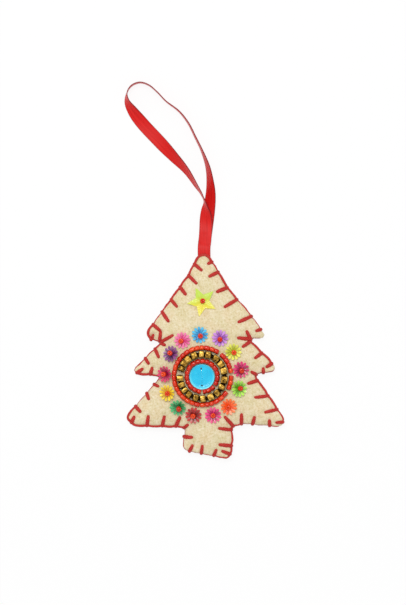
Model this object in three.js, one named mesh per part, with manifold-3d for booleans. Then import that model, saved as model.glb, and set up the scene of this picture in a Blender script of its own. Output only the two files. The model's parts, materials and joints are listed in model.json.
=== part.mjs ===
// A stuffed felt christmas tree ornament lying on its back: oversewn felt, a beaded medallion,
// flower sequins, a star sequin and a ribbon loop to hang it by.
// Millimetres. +Z points out of the front, +Y to the top of the tree, and z = 0 is the table.

import * as THREE from "three";
import { mergeVertices } from "three/addons/utils/BufferGeometryUtils.js";
import Module from "manifold-3d";

const wasm = await Module();
wasm.setup();

// Felt and stuffing
const feltThickness = 1.3;
const seamGap = 0.3; // between the two felts along the edge
const rimHeight = 3; // the back felt's edge above the table
const backSwell = 3.5; // how far the stuffing pushes the back out, before the table flattens it
const frontSwell = 3.8; // how far it pushes the front out
const swellReach = 13; // how far in from the edge the pillow comes to its full height
const stuffingGap = 0.3; // between the stuffing and each felt
const stuffingEdgeGap = 1.5; // more of it towards the edge, where the seam pinches
const gridStep = 4.6; // cell of the grid that the felts are shaped on

// The furthest corners of the tree, before they are rounded
const treeTop = 52.4;
const branchRight = 39.2;
const branchLeft = -41.3;
const trunkFoot = -48;
const trunkSlant = 4.1; // how much higher the left end of the trunk's foot is

// Corners of the tree, clockwise from the top: x, y and the radius the corner is cut to
const treeCorners = [
  [-1.3, treeTop, 4.5],
  [9.8, 32.7, 30],
  [21.0, 19.7, 40],
  [29.3, 8.5, 1.7],
  [18.9, 8.9, 1],
  [26.1, 2.2, 30],
  [35.0, -6.3, 2.1],
  [22.2, -8.2, 1],
  [29.0, -17.6, 40],
  [branchRight, -33.4, 2.6],
  [17.3, -31.3, 20],
  [11.9, -32.7, 1],
  [12.5, -39.4, 15],
  [11.4, trunkFoot, 2.2],
  [-11.5, trunkFoot + trunkSlant, 3.5],
  [-9.8, -32.9, 1],
  [branchLeft, -32.2, 3.6],
  [-21.0, -8.7, 1],
  [-35.9, -7.7, 1.6],
  [-24.8, 3.6, 8],
  [-19.0, 7.4, 1],
  [-30.5, 8.0, 2.7],
  [-8.4, 38.5, 25],
];
const chordError = 0.06; // how far a straight step may cut inside a corner's arc

// Red six-strand thread of the blanket stitch
const stitchPitch = 6.4;
const barRadius = 0.55;
const barLength = 5.2;
const backBarLength = 3.4;
const edgeThreadRadius = 0.4;
const threadSides = 4;
const threadGap = 0.3; // between the thread and the felt

// Ribbon
const ribbonWidth = 6;
const ribbonThickness = 0.3;
const ribbonLayerGap = 0.1; // between its two ends where they lie on each other
const ribbonX = -1;
const ribbonTail = 10; // sewn in below the top of the tree
const ribbonGap = 0.3; // round the tail in the seam, and under the edge thread
const foldLimit = THREE.MathUtils.degToRad(120);
const ribbonSteps = 66;

// Medallion
const medallionX = -2;
const medallionY = -9.2;
const discRadius = 5.9;
const discThickness = 1.2;
const discBevel = 0.25;
const discHoleRadius = 0.4;
const discHoleSpacing = 8;
const discThreadRadius = 0.15;
const seedRadius = 1; // red seed beads of the inner strand
const outerSeedRadius = 1.1;
const seedLength = 1.75;
const seedSides = 5;
const brassRadius = 1.55;
const brassLength = 3.35; // along the strand, with the thread that shows between two beads
const brassSides = 8;
const strandThreadRadius = 0.45;
const innerRingGap = 0.15; // disc to inner strand
const brassRingGap = 0.75; // inner strand to brass strand
const outerRingGap = 0.3; // brass strand to outer strand
const trimGap = 0.2; // between a sewn-on piece and the felt under it

// Sequins and their stop beads
const sequinThickness = 0.3;
const turnGap = 0.2; // between a sequin and what it turns past
const flowerRadius = 4;
const flowerValley = 2.7; // between two petals
const petalCount = 12;
const starRadius = 7.2;
const starValley = 3.4;
const starX = -1.95;
const starY = 26;
const starLean = THREE.MathUtils.degToRad(-101); // where one of its points aims
const stopBeadRadius = 1.1;
const stopBeadHeight = 1.6;
const postRadius = 0.35; // doubled sewing thread that a sequin turns on
const discSides = 26;
const holeSides = 6;
const beadSides = 7;

// Flower sequins round the medallion: place on the circle in degrees, distance out from the middle of
// the outer strand, and colour. The nearer ones lean on the beads of that strand.
const flowers = [
  { name: "pink", angle: 118.1, out: 6.1, color: 0xee5fa8 },
  { name: "blue", angle: 93, out: 6.4, color: 0x2fb0e8 },
  { name: "violet", angle: 65, out: 6.7, color: 0xb565d8 },
  { name: "citron", angle: 38.7, out: 5.4, color: 0xd8ee4a },
  { name: "magenta", angle: 10.5, out: 5.2, color: 0xd0286a },
  { name: "lime", angle: -18, out: 4.6, color: 0x8fdb3c },
  { name: "orange", angle: -48, out: 5.4, color: 0xff6a2a },
  { name: "rose", angle: -74, out: 5.3, color: 0xe23c8a },
  { name: "maroon", angle: -102.3, out: 5.1, color: 0xa8202a },
  { name: "green", angle: -128.5, out: 4.7, color: 0x2e9e5a },
  { name: "yellow", angle: -155, out: 4.4, color: 0xf5d020 },
  { name: "crimson", angle: 175.7, out: 3.9, color: 0xcc2460 },
  { name: "purple", angle: 143.5, out: 4.5, color: 0x6e2e78 },
];

// Arcs of the bead strands, in degrees: the outer one is broken in three places
const innerArc = { from: -90, sweep: 356 };
const brassArc = { from: 186, sweep: 352 };
const outerArcs = [
  { name: "outer_bead_strand_long", from: 56, sweep: 271.5 },
  { name: "outer_bead_strand_short", from: 332.5, sweep: 29 },
  { name: "outer_bead_strand_right", from: 6.5, sweep: 44.5 },
];

// Route of the ribbon's middle line from the upper end at the seam, round the loop, to the lower end:
// x from the middle of the ribbon at the seam, y out from the fold there, how far its lower edge is
// raised off the table, and its roll in degrees (0 flat, 90 on edge)
const ribbonRoute = [
  [0.3, 3.3, 3.75, 1],
  [0.65, 7.8, 2.55, 3],
  [0.8, 12.8, 1.65, 14],
  [0.7, 17.8, 1, 46],
  [0.25, 22.3, 0.9, 84],
  [-1.4, 26.3, 0.6, 80],
  [-3.6, 29.7, 0.35, 62],
  [-8.4, 37, 0.1, 40],
  [-14.6, 43.8, 0.1, 27],
  [-21.6, 51.3, 0.1, 30],
  [-28.9, 59.1, 0.1, 45],
  [-33.8, 65.3, 0.1, 62],
  [-36.3, 69.8, 0.1, 77],
  [-36.4, 73.5, 0.1, 87],
  [-34.3, 76.9, 0.1, 90],
  [-30.3, 78.5, 0.1, 90],
  [-26.1, 77.3, 0.1, 90],
  [-22, 73.9, 0.1, 90],
  [-18.1, 69.8, 0.1, 90],
  [-11.7, 64.8, 0.1, 92],
  [-7.3, 59.1, 0.1, 94],
  [-4.1, 52.7, 0.1, 95],
  [-1.1, 46.5, 0.1, 97],
  [1.6, 39.2, 0.1, 107],
  [2.7, 33.2, 0.1, 118],
  [3.1, 26.2, 0.1, 137],
  [2.2, 18.1, 0.1, 163],
  [1.2, 10.8, 0.3, 178],
  [0.4, 4.8, 1.9, 180],
];

// Heights and radii that follow from the sizes above
const seamZ = rimHeight + feltThickness + seamGap / 2;
const ribbonStack = 2 * ribbonThickness + ribbonLayerGap;
const innerRing = discRadius + innerRingGap + seedRadius;
const brassRing = innerRing + seedRadius + brassRingGap + brassRadius;
const outerRing = brassRing + brassRadius + outerRingGap + outerSeedRadius;

const xy = (x, y) => new THREE.Vector2(x, y);
const xyz = (x, y, z) => new THREE.Vector3(x, y, z);
const up = xyz(0, 0, 1);

// Joining and cutting

function solidOf(geometry) {
  geometry.deleteAttribute("normal");
  geometry.deleteAttribute("uv");
  const merged = mergeVertices(geometry, 1e-4);
  const mesh = new wasm.Mesh({
    numProp: 3,
    vertProperties: new Float32Array(merged.attributes.position.array),
    triVerts: new Uint32Array(merged.index.array),
  });
  return new wasm.Manifold(mesh);
}

function geometryOf(solid) {
  const mesh = solid.getMesh();
  const geometry = new THREE.BufferGeometry();
  geometry.setAttribute("position", new THREE.BufferAttribute(mesh.vertProperties, 3));
  geometry.setIndex(new THREE.BufferAttribute(mesh.triVerts, 1));
  geometry.computeVertexNormals();
  return geometry;
}

// A closed skin over cross-sections with equal numbers of points, capped at both ends or joined in a loop.
// The sides named in turned are split into triangles along their other diagonal.
function loftGeometry(sections, joined = false, turned = []) {
  const around = sections[0].length;
  const rows = joined ? sections.length : sections.length - 1;
  const index = [];
  const at = (row, k) => (row % sections.length) * around + (k % around);
  for (let row = 0; row < rows; row++) {
    for (let k = 0; k < around; k++) {
      const [a, b, c, d] = [at(row, k), at(row, k + 1), at(row + 1, k + 1), at(row + 1, k)];
      index.push(...(turned.includes(k) ? [a, b, c, a, c, d] : [a, b, d, b, c, d]));
    }
  }
  for (let k = 1; k < around - 1 && !joined; k++) {
    index.push(at(0, 0), at(0, k + 1), at(0, k));
    index.push(at(rows, 0), at(rows, k), at(rows, k + 1));
  }
  const geometry = new THREE.BufferGeometry().setFromPoints(sections.flat());
  geometry.setIndex(index);
  geometry.computeVertexNormals();
  return geometry;
}

// A round section of a thread: side is square to its run
function threadSection(centre, run, side, radius, sides) {
  const across = side.clone().addScaledVector(run, -side.dot(run)).normalize();
  const over = run.clone().cross(across);
  return Array.from({ length: sides }, (_, k) => {
    const turn = (2 * Math.PI * (k + 0.5)) / sides;
    const point = centre.clone().addScaledVector(across, radius * Math.cos(turn));
    return point.addScaledVector(over, radius * Math.sin(turn));
  });
}

function runAt(points, i, joined) {
  const n = points.length;
  const before = joined ? points[(i + n - 1) % n] : points[Math.max(i - 1, 0)];
  const after = joined ? points[(i + 1) % n] : points[Math.min(i + 1, n - 1)];
  return after.clone().sub(before).normalize();
}

// The tree's outline

function roundedOutline(corners) {
  return corners.flatMap(([x, y, radius], i) => {
    const corner = xy(x, y);
    const [px, py] = corners[(i + corners.length - 1) % corners.length];
    const [nx, ny] = corners[(i + 1) % corners.length];
    const back = xy(px, py).sub(corner);
    const on = xy(nx, ny).sub(corner);
    const half = Math.acos(back.dot(on) / (back.length() * on.length())) / 2;
    const cut = Math.min(radius / Math.tan(half), 0.45 * back.length(), 0.45 * on.length());
    const arcRadius = cut * Math.tan(half);
    const turn = -Math.sign(back.cross(on));
    const middle = back.normalize().add(on.normalize()).setLength(arcRadius / Math.sin(half)).add(corner);
    const sweep = Math.PI - 2 * half;
    const steps = Math.ceil(sweep / (2 * Math.acos(1 - chordError / arcRadius)));
    const first = corner.clone().sub(middle).angle() - (turn * sweep) / 2;
    return Array.from({ length: steps + 1 }, (_, k) => {
      const angle = first + (turn * sweep * k) / steps;
      return xy(middle.x + arcRadius * Math.cos(angle), middle.y + arcRadius * Math.sin(angle));
    });
  });
}

const outline = roundedOutline(treeCorners);
const outlineBox = new THREE.Box2().setFromPoints(outline);
const apexY = outlineBox.max.y;

function isInside(x, y) {
  let inside = false;
  outline.forEach((a, i) => {
    const b = outline[(i + 1) % outline.length];
    const crosses = a.y > y !== b.y > y;
    if (crosses && x < a.x + ((y - a.y) * (b.x - a.x)) / (b.y - a.y)) inside = !inside;
  });
  return inside;
}

// Smooth distance to the outline: exact beside one straight edge, less where several edges are near
function edgeDistance(x, y) {
  const point = xy(x, y);
  let sum = 0;
  outline.forEach((a, i) => {
    const run = outline[(i + 1) % outline.length].clone().sub(a);
    const length = run.length();
    run.normalize();
    const offset = a.clone().sub(point);
    const along = offset.dot(run);
    const apart = Math.max(Math.abs(offset.cross(run)), 1e-3);
    const reach = (s) => s / (apart * apart * Math.hypot(apart, s));
    sum += reach(along + length) - reach(along);
  });
  return Math.sqrt(2 / sum);
}

// The pillow: a share of full swell on a grid, below 0 outside so that it passes 0 at the edge

const gridLow = outlineBox.min.clone().subScalar(gridStep);
const gridSize = outlineBox.max.clone().addScalar(2 * gridStep).sub(gridLow);
const columns = Math.ceil(gridSize.x / gridStep);
const rows = Math.ceil(gridSize.y / gridStep);
const outsideFall = 0.2; // the most that the share falls below 0 outside
const gridX = (i) => gridLow.x + i * gridStep;
const gridY = (j) => gridLow.y + j * gridStep;
const swell = Array.from({ length: rows + 1 }, (_, j) =>
  Array.from({ length: columns + 1 }, (_, i) => {
    const share = Math.min(1, edgeDistance(gridX(i), gridY(j)) / swellReach);
    const rise = 1 - (1 - share) ** 2;
    return isInside(gridX(i), gridY(j)) ? rise : -Math.min(rise, outsideFall);
  }),
);

function swellAt(x, y) {
  const u = THREE.MathUtils.clamp((x - gridLow.x) / gridStep, 0, columns - 1e-6);
  const v = THREE.MathUtils.clamp((y - gridLow.y) / gridStep, 0, rows - 1e-6);
  const i = Math.floor(u);
  const j = Math.floor(v);
  const [a, b] = [u - i, v - j];
  const [low, high] = [swell[j], swell[j + 1]];
  if (a + b < 1) return low[i] + a * (low[i + 1] - low[i]) + b * (high[i] - low[i]);
  return high[i + 1] + (1 - a) * (high[i] - high[i + 1]) + (1 - b) * (low[i + 1] - high[i + 1]);
}

const frontInner = (s) => seamZ + seamGap / 2 + frontSwell * s;
const frontOuter = (s) => frontInner(s) + feltThickness;
const backOuter = (s) => Math.max(0, rimHeight - backSwell * s);
const backInner = (s) => backOuter(s) + feltThickness;
const frontZ = (x, y) => frontOuter(swellAt(x, y));
const backZ = (x, y) => backOuter(swellAt(x, y));

// A block over the whole grid between two heights that follow the swell
function swellSlab(low, high) {
  const points = [];
  const index = [];
  const at = (layer, i, j) => (layer * (rows + 1) + j) * (columns + 1) + i;
  for (const height of [low, high]) {
    swell.forEach((line, j) => line.forEach((s, i) => points.push(xyz(gridX(i), gridY(j), height(s)))));
  }
  for (let j = 0; j < rows; j++) {
    for (let i = 0; i < columns; i++) {
      index.push(at(1, i, j), at(1, i + 1, j), at(1, i, j + 1));
      index.push(at(1, i + 1, j), at(1, i + 1, j + 1), at(1, i, j + 1));
      index.push(at(0, i, j), at(0, i, j + 1), at(0, i + 1, j));
      index.push(at(0, i + 1, j), at(0, i, j + 1), at(0, i + 1, j + 1));
    }
  }
  const wall = (i, j, k, l) => {
    index.push(at(0, i, j), at(0, k, l), at(1, i, j));
    index.push(at(0, k, l), at(1, k, l), at(1, i, j));
  };
  for (let i = 0; i < columns; i++) {
    wall(i, 0, i + 1, 0);
    wall(i + 1, rows, i, rows);
  }
  for (let j = 0; j < rows; j++) {
    wall(columns, j, columns, j + 1);
    wall(0, j + 1, 0, j);
  }
  return new THREE.BufferGeometry().setFromPoints(points).setIndex(index);
}

// A straight block with the tree's outline between two heights
function treeBlock(low, high) {
  const shape = new THREE.Shape(outline);
  const block = new THREE.ExtrudeGeometry(shape, { depth: high - low, bevelEnabled: false });
  return solidOf(block.translate(0, 0, low));
}

// Ribbon tail: its side view, with a round nose that the loop folds about

const lift = ribbonStack / 2 + ribbonGap + edgeThreadRadius; // edge thread over the ribbon
const liftRoom = ribbonGap + 4 * edgeThreadRadius; // how far beside the ribbon it starts to climb
const edgeOffset = threadGap + edgeThreadRadius;
const foldRoom = ribbonStack / 2 + edgeThreadRadius + ribbonGap - lift * Math.cos(foldLimit);
const foldY = apexY + edgeOffset + foldRoom / Math.sin(foldLimit);
const foldStart = ribbonStack / 2 + 2 * ribbonGap; // where the loop starts, out from the fold

function tailBlock(grow, length) {
  const half = ribbonStack / 2 + grow;
  const side = new THREE.Shape();
  side.moveTo(length, half);
  side.lineTo(0, half);
  side.absarc(0, 0, half, Math.PI / 2, (3 * Math.PI) / 2, false);
  side.lineTo(length, -half);
  const depth = ribbonWidth + 2 * grow;
  const block = new THREE.ExtrudeGeometry(side, { depth, bevelEnabled: false, curveSegments: 6 });
  block.rotateX(Math.PI / 2);
  block.rotateZ(-Math.PI / 2);
  return block.translate(ribbonX + depth / 2, foldY, seamZ);
}

const tailLength = foldY - apexY + ribbonTail;
const tailPocket = solidOf(tailBlock(ribbonGap, tailLength + ribbonGap));

function frontFelt() {
  const sheet = solidOf(swellSlab(frontInner, frontOuter));
  const block = treeBlock(frontInner(0), frontOuter(1) + feltThickness);
  return geometryOf(sheet.intersect(block).subtract(tailPocket));
}

function backFelt() {
  const sheet = solidOf(swellSlab(backOuter, backInner));
  const block = treeBlock(-feltThickness, backInner(0));
  return geometryOf(sheet.intersect(block).subtract(tailPocket));
}

// Stuffing: what lies between the felts, thinning out before the seam
function stuffing() {
  const gap = (s) => stuffingGap + stuffingEdgeGap * (1 - s) ** 2;
  const below = solidOf(swellSlab(() => 0, (s) => frontInner(s) - gap(s)));
  const above = solidOf(swellSlab((s) => backInner(s) + gap(s), () => frontOuter(1) + feltThickness));
  const lumps = below.intersect(above).subtract(tailPocket).decompose();
  return geometryOf(lumps.sort((a, b) => b.volume() - a.volume())[0]);
}

// Sequins and their places

// Height of the outer strand's line above the table at an angle round the medallion
function strandZ(angle, ring, radius) {
  const away = xy(Math.cos(angle), Math.sin(angle));
  const x = medallionX + ring * away.x;
  const y = medallionY + ring * away.y;
  const slope = (frontZ(x + radius * away.x, y + radius * away.y) - frontZ(x, y)) / radius;
  return frontZ(x, y) + (radius + trimGap) * Math.hypot(1, slope);
}

// What a flower lies on: the felt, or the outer strand where that is higher
function flowerBed(x, y) {
  const dx = x - medallionX;
  const dy = y - medallionY;
  const beside = Math.abs(Math.hypot(dx, dy) - outerRing) - outerSeedRadius;
  if (beside > 0) return frontZ(x, y);
  const bulge = Math.sqrt(outerSeedRadius ** 2 - (beside + outerSeedRadius) ** 2);
  return Math.max(frontZ(x, y), strandZ(Math.atan2(dy, dx), outerRing, outerSeedRadius) + bulge);
}

function circlePoints(radius, sides, y = 0) {
  return Array.from({ length: sides }, (_, k) => {
    const angle = (2 * Math.PI * k) / sides;
    return xy(radius * Math.cos(angle), y + radius * Math.sin(angle));
  });
}

// How high the middle of a flat round piece lies over a bed when it is tilted by two slopes
function restingHeight(x, y, radius, bed, [slopeX, slopeY]) {
  const rings = 8;
  const spokes = 36;
  let z = bed(x, y);
  for (let ring = 1; ring <= rings; ring++) {
    for (const { x: dx, y: dy } of circlePoints((ring / rings) * radius, spokes)) {
      z = Math.max(z, bed(x + dx, y + dy) - slopeX * dx - slopeY * dy);
    }
  }
  return z;
}

// A sequin is sewn down at its middle, so it takes the tilt at which its middle lies lowest
function seat(x, y, radius, bed) {
  let slopes = [0, 0];
  let z = restingHeight(x, y, radius, bed, slopes);
  const widestStep = 0.4;
  const finestStep = 0.01;
  const tries = 4; // at each step
  for (let step = widestStep; step > finestStep; step /= 2) {
    for (let k = 0; k < tries; k++) {
      for (const [dx, dy] of [[step, 0], [-step, 0], [0, step], [0, -step]]) {
        const tilted = [slopes[0] + dx, slopes[1] + dy];
        const height = restingHeight(x, y, radius, bed, tilted);
        if (height < z) [slopes, z] = [tilted, height];
      }
    }
  }
  const normal = xyz(-slopes[0], -slopes[1], 1).normalize();
  const position = xyz(x, y, z).addScaledVector(normal, trimGap);
  return { position, normal, depth: (position.z - frontZ(x, y)) * normal.z };
}

function flowerSeat({ angle, out }) {
  const turn = THREE.MathUtils.degToRad(angle);
  const distance = outerRing + out;
  const x = medallionX + distance * Math.cos(turn);
  const y = medallionY + distance * Math.sin(turn);
  return seat(x, y, flowerRadius, flowerBed);
}

const flowerSeats = flowers.map(flowerSeat);
const starSeat = seat(starX, starY, starRadius, frontZ);

function punchedSequin(points) {
  const shape = new THREE.Shape(points);
  shape.holes.push(new THREE.Path(circlePoints(postRadius + turnGap, holeSides)));
  return new THREE.ExtrudeGeometry(shape, { depth: sequinThickness, bevelEnabled: false });
}

function flowerSequin() {
  const petalHalf = 0.24; // half of a petal's tip, as a share of its place on the circle
  const points = [];
  for (let k = 0; k < petalCount; k++) {
    for (const [turn, radius] of [
      [-0.5, flowerValley],
      [-petalHalf, flowerRadius],
      [petalHalf, flowerRadius],
    ]) {
      const angle = (2 * Math.PI * (k + turn)) / petalCount;
      points.push(xy(radius * Math.cos(angle), radius * Math.sin(angle)));
    }
  }
  return punchedSequin(points);
}

function starSequin() {
  const points = Array.from({ length: 10 }, (_, k) => {
    const radius = k % 2 ? starValley : starRadius;
    const angle = starLean + (k * Math.PI) / 5;
    return xy(radius * Math.cos(angle), radius * Math.sin(angle));
  });
  return punchedSequin(points);
}

// A bead on its thread, turned about the thread: the sequin lies under it, and the felt is depth below
function stopBead(depth) {
  const foot = trimGap / 2 - depth;
  const base = sequinThickness + turnGap;
  const profile = [
    [0, foot],
    [postRadius, foot],
    [postRadius, base],
    [0.8 * stopBeadRadius, base],
    [stopBeadRadius, base + 0.3 * stopBeadHeight],
    [stopBeadRadius, base + 0.7 * stopBeadHeight],
    [0.65 * stopBeadRadius, base + stopBeadHeight],
    [0, base + stopBeadHeight],
  ];
  const points = profile.map(([r, z]) => xy(r, z));
  return new THREE.LatheGeometry(points, beadSides).rotateX(Math.PI / 2);
}

// Medallion

const discZ = restingHeight(medallionX, medallionY, discRadius, frontZ, [0, 0]) + trimGap;

function centreDisc() {
  const shape = new THREE.Shape(circlePoints(discRadius, discSides));
  for (const side of [-1, 1]) {
    const hole = circlePoints(discHoleRadius, holeSides, (side * discHoleSpacing) / 2);
    shape.holes.push(new THREE.Path(hole));
  }
  const disc = new THREE.ExtrudeGeometry(shape, {
    depth: discThickness - discBevel,
    bevelThickness: discBevel / 2,
    bevelSize: discBevel,
    bevelOffset: -discBevel,
    bevelSegments: 1,
  });
  return disc.translate(0, 0, discBevel / 2);
}

// Clear thread up through one hole of the disc, across its face and down the other
function discThread() {
  const over = discThickness + discThreadRadius + threadGap;
  const end = discHoleSpacing / 2;
  const points = [xyz(0, -end, 0), xyz(0, -end, over), xyz(0, end, over), xyz(0, end, 0)];
  const sections = points.map((point, i) =>
    threadSection(point, runAt(points, i, false), xyz(1, 0, 0), discThreadRadius, threadSides),
  );
  return loftGeometry(sections);
}

// Beads on their thread along an arc round the medallion, lying on the felt
function beadStrand(arc, ring, radius, length, sides) {
  const sweep = THREE.MathUtils.degToRad(arc.sweep);
  const count = Math.max(1, Math.round((sweep * ring) / length));
  const beadShoulder = 0.2; // how much of a bead's length rounds off towards each hole
  const stops = [];
  for (let bead = 0; bead < count; bead++) {
    stops.push([bead, strandThreadRadius]);
    stops.push([bead + beadShoulder, radius], [bead + 1 - beadShoulder, radius]);
  }
  stops.push([count, strandThreadRadius]);
  const sections = stops.map(([place, size]) => {
    const angle = THREE.MathUtils.degToRad(arc.from) + (place / count) * sweep;
    const away = xyz(Math.cos(angle), Math.sin(angle), 0);
    const centre = xyz(medallionX, medallionY, strandZ(angle, ring, radius)).addScaledVector(away, ring);
    return threadSection(centre, xyz(-away.y, away.x, 0), up, size, sides);
  });
  return loftGeometry(sections);
}

// Blanket stitch: an edge thread with a bar at each stitch on both faces

const edgeLengths = outline.map((a, i) => a.distanceTo(outline[(i + 1) % outline.length]));
const perimeter = edgeLengths.reduce((sum, length) => sum + length, 0);

function edgePoint(distance) {
  let left = distance;
  let i = 0;
  while (left > edgeLengths[i]) {
    left -= edgeLengths[i];
    i += 1;
  }
  const a = outline[i];
  const b = outline[(i + 1) % outline.length];
  const run = b.clone().sub(a).normalize();
  return { place: a.clone().addScaledVector(run, left), inward: xy(run.y, -run.x) };
}

const atRibbon = (x, y, room) =>
  Math.abs(x - ribbonX) < ribbonWidth / 2 + room && y > apexY - ribbonWidth / 2 - room;

// How far in from the edge a bar may reach while its end passes a test
function barReach({ place, inward }, longest, isClear) {
  const step = 0.2;
  let reach = 0;
  while (reach < longest && isClear(place.x + inward.x * reach, place.y + inward.y * reach)) reach += step;
  return reach;
}

const sequinCircles = [
  { position: starSeat.position, radius: starRadius },
  ...flowerSeats.map(({ position }) => ({ position, radius: flowerRadius })),
];
const clearOfSequins = (x, y) =>
  sequinCircles.every(
    ({ position, radius }) => Math.hypot(position.x - x, position.y - y) > radius + barRadius + turnGap,
  );
const clearOfTable = (x, y) => backZ(x, y) > 2 * (threadGap + barRadius);

function stitchBar(stitch, reach, backReach) {
  const { place, inward } = stitch;
  const off = threadGap + barRadius;
  const onFace = (inset, face, offset) => {
    const x = place.x + inward.x * inset;
    const y = place.y + inward.y * inset;
    return xyz(x, y, face(x, y) + offset);
  };
  const beside = (out, z) => xyz(place.x - inward.x * out, place.y - inward.y * out, z);
  const top = frontZ(place.x, place.y);
  const bottom = backZ(place.x, place.y);
  const points = [
    onFace(reach, frontZ, off),
    onFace(0.5 * reach, frontZ, off),
    beside(0.75 * off, top + 0.75 * off),
    beside(1.1 * off, seamZ),
    beside(0.75 * off, bottom - 0.75 * off),
    onFace(0.5 * backReach, backZ, -off),
    onFace(backReach, backZ, -off),
  ];
  const across = xyz(-inward.y, inward.x, 0);
  const sections = points.map((point, i) =>
    threadSection(point, runAt(points, i, false), across, barRadius, threadSides),
  );
  return solidOf(loftGeometry(sections));
}

// The edge thread lies in the seam, and climbs over the ribbon at the top of the tree
function edgeThread() {
  const n = outline.length;
  const points = outline.map((place, i) => {
    const before = outline[(i + n - 1) % n];
    const after = outline[(i + 1) % n];
    const run = after.clone().sub(before).normalize();
    const x = place.x - run.y * edgeOffset;
    const y = place.y + run.x * edgeOffset;
    return xyz(x, y, seamZ + (atRibbon(x, y, liftRoom) ? lift : 0));
  });
  const sections = points.map((point, i) =>
    threadSection(point, runAt(points, i, true), up, edgeThreadRadius, threadSides),
  );
  return solidOf(loftGeometry(sections, true));
}

function blanketStitch() {
  const count = Math.round(perimeter / stitchPitch);
  const stitches = Array.from({ length: count }, (_, k) => edgePoint(((k + 0.5) * perimeter) / count));
  const ribbonRoom = ribbonGap + barRadius;
  return geometryOf(
    stitches.reduce((thread, stitch) => {
      const reach = barReach(stitch, barLength, clearOfSequins);
      const backReach = barReach(stitch, backBarLength, clearOfTable);
      const skipped = reach < 2 * barRadius || atRibbon(stitch.place.x, stitch.place.y, ribbonRoom);
      return skipped ? thread : thread.add(stitchBar(stitch, reach, backReach));
    }, edgeThread()),
  );
}

// Ribbon loop: both faces are split along the same diagonals, so its walls keep apart where it twists

function ribbonLoop() {
  const half = ribbonWidth / 2;
  const underside = 2; // the side between the third and fourth corners of a section
  const layer = (ribbonThickness + ribbonLayerGap) / 2;
  const places = ribbonRoute.map(([x, y, raise, roll]) => {
    const turn = THREE.MathUtils.degToRad(roll);
    const z = raise + half * Math.abs(Math.sin(turn)) + (ribbonThickness / 2) * Math.abs(Math.cos(turn));
    return { point: xyz(ribbonX + x, foldY + y, z), turn };
  });
  places.unshift({ point: xyz(ribbonX, foldY + foldStart, seamZ + layer), turn: 0 });
  places.push({ point: xyz(ribbonX, foldY + foldStart, seamZ - layer), turn: Math.PI });
  const line = new THREE.CatmullRomCurve3(places.map(({ point }) => point));
  const rolls = new THREE.CatmullRomCurve3(places.map(({ turn }) => xyz(turn, 0, 0)));
  const sections = Array.from({ length: ribbonSteps + 1 }, (_, k) => {
    const share = k / ribbonSteps;
    const middle = line.getPoint(share);
    const run = line.getTangent(share);
    const turn = rolls.getPoint(share).x;
    const level = run.clone().cross(up).normalize();
    const rise = level.clone().cross(run);
    const across = level.multiplyScalar(Math.cos(turn)).addScaledVector(rise, Math.sin(turn));
    const face = run.clone().cross(across);
    return [
      [half, 1],
      [-half, 1],
      [-half, -1],
      [half, -1],
    ].map(([a, b]) => {
      const corner = middle.clone().addScaledVector(across, a);
      return corner.addScaledVector(face, (b * ribbonThickness) / 2);
    });
  });
  return loftGeometry(sections, false, [underside]);
}

// Assembly

const materials = {
  felt: new THREE.MeshStandardMaterial({ color: 0xe8dcb8, roughness: 0.95 }),
  stuffing: new THREE.MeshStandardMaterial({ color: 0xf5f3ee, roughness: 1 }),
  thread: new THREE.MeshStandardMaterial({ color: 0xb8282b, roughness: 0.7 }),
  ribbon: new THREE.MeshStandardMaterial({ color: 0xd82428, roughness: 0.35 }),
  redGlass: new THREE.MeshStandardMaterial({ color: 0xe8321e, roughness: 0.15 }),
  brass: new THREE.MeshStandardMaterial({ color: 0xb08a3c, roughness: 0.3, metalness: 1 }),
  disc: new THREE.MeshStandardMaterial({ color: 0x2ebbea, roughness: 0.15 }),
  clearThread: new THREE.MeshStandardMaterial({ color: 0xdfe8ee, roughness: 0.3 }),
  star: new THREE.MeshStandardMaterial({ color: 0xd6e83c, roughness: 0.2 }),
};

const ornament = new THREE.Group();

function addPiece(name, geometry, material, parent = ornament) {
  const piece = new THREE.Mesh(geometry, material);
  piece.name = name;
  parent.add(piece);
  return piece;
}

function placedGroup({ position, normal }) {
  const group = new THREE.Group();
  group.position.copy(position);
  group.quaternion.setFromUnitVectors(up, normal);
  ornament.add(group);
  return group;
}

addPiece("front_felt", frontFelt(), materials.felt);
addPiece("back_felt", backFelt(), materials.felt);
addPiece("stuffing", stuffing(), materials.stuffing);
addPiece("blanket_stitch", blanketStitch(), materials.thread);
addPiece("ribbon_tail", tailBlock(0, tailLength), materials.ribbon);
addPiece("ribbon_loop", ribbonLoop(), materials.ribbon);

const starPlace = placedGroup(starSeat);
addPiece("star_sequin", starSequin(), materials.star, starPlace);
addPiece("star_bead", stopBead(starSeat.depth), materials.redGlass, starPlace);

flowers.forEach(({ name, color }, i) => {
  const place = placedGroup(flowerSeats[i]);
  const film = new THREE.MeshStandardMaterial({ color, roughness: 0.2 });
  addPiece("flower_sequin_" + name, flowerSequin(), film, place);
  addPiece("flower_bead_" + name, stopBead(flowerSeats[i].depth), materials.redGlass, place);
});

const discPlace = placedGroup({ position: xyz(medallionX, medallionY, discZ), normal: up });
addPiece("centre_disc", centreDisc(), materials.disc, discPlace);
addPiece("disc_thread", discThread(), materials.clearThread, discPlace);

addPiece(
  "inner_bead_strand",
  beadStrand(innerArc, innerRing, seedRadius, seedLength, seedSides),
  materials.redGlass,
);
addPiece(
  "brass_bead_strand",
  beadStrand(brassArc, brassRing, brassRadius, brassLength, brassSides),
  materials.brass,
);
for (const arc of outerArcs) {
  const strand = beadStrand(arc, outerRing, outerSeedRadius, seedLength, seedSides);
  addPiece(arc.name, strand, materials.redGlass);
}

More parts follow.
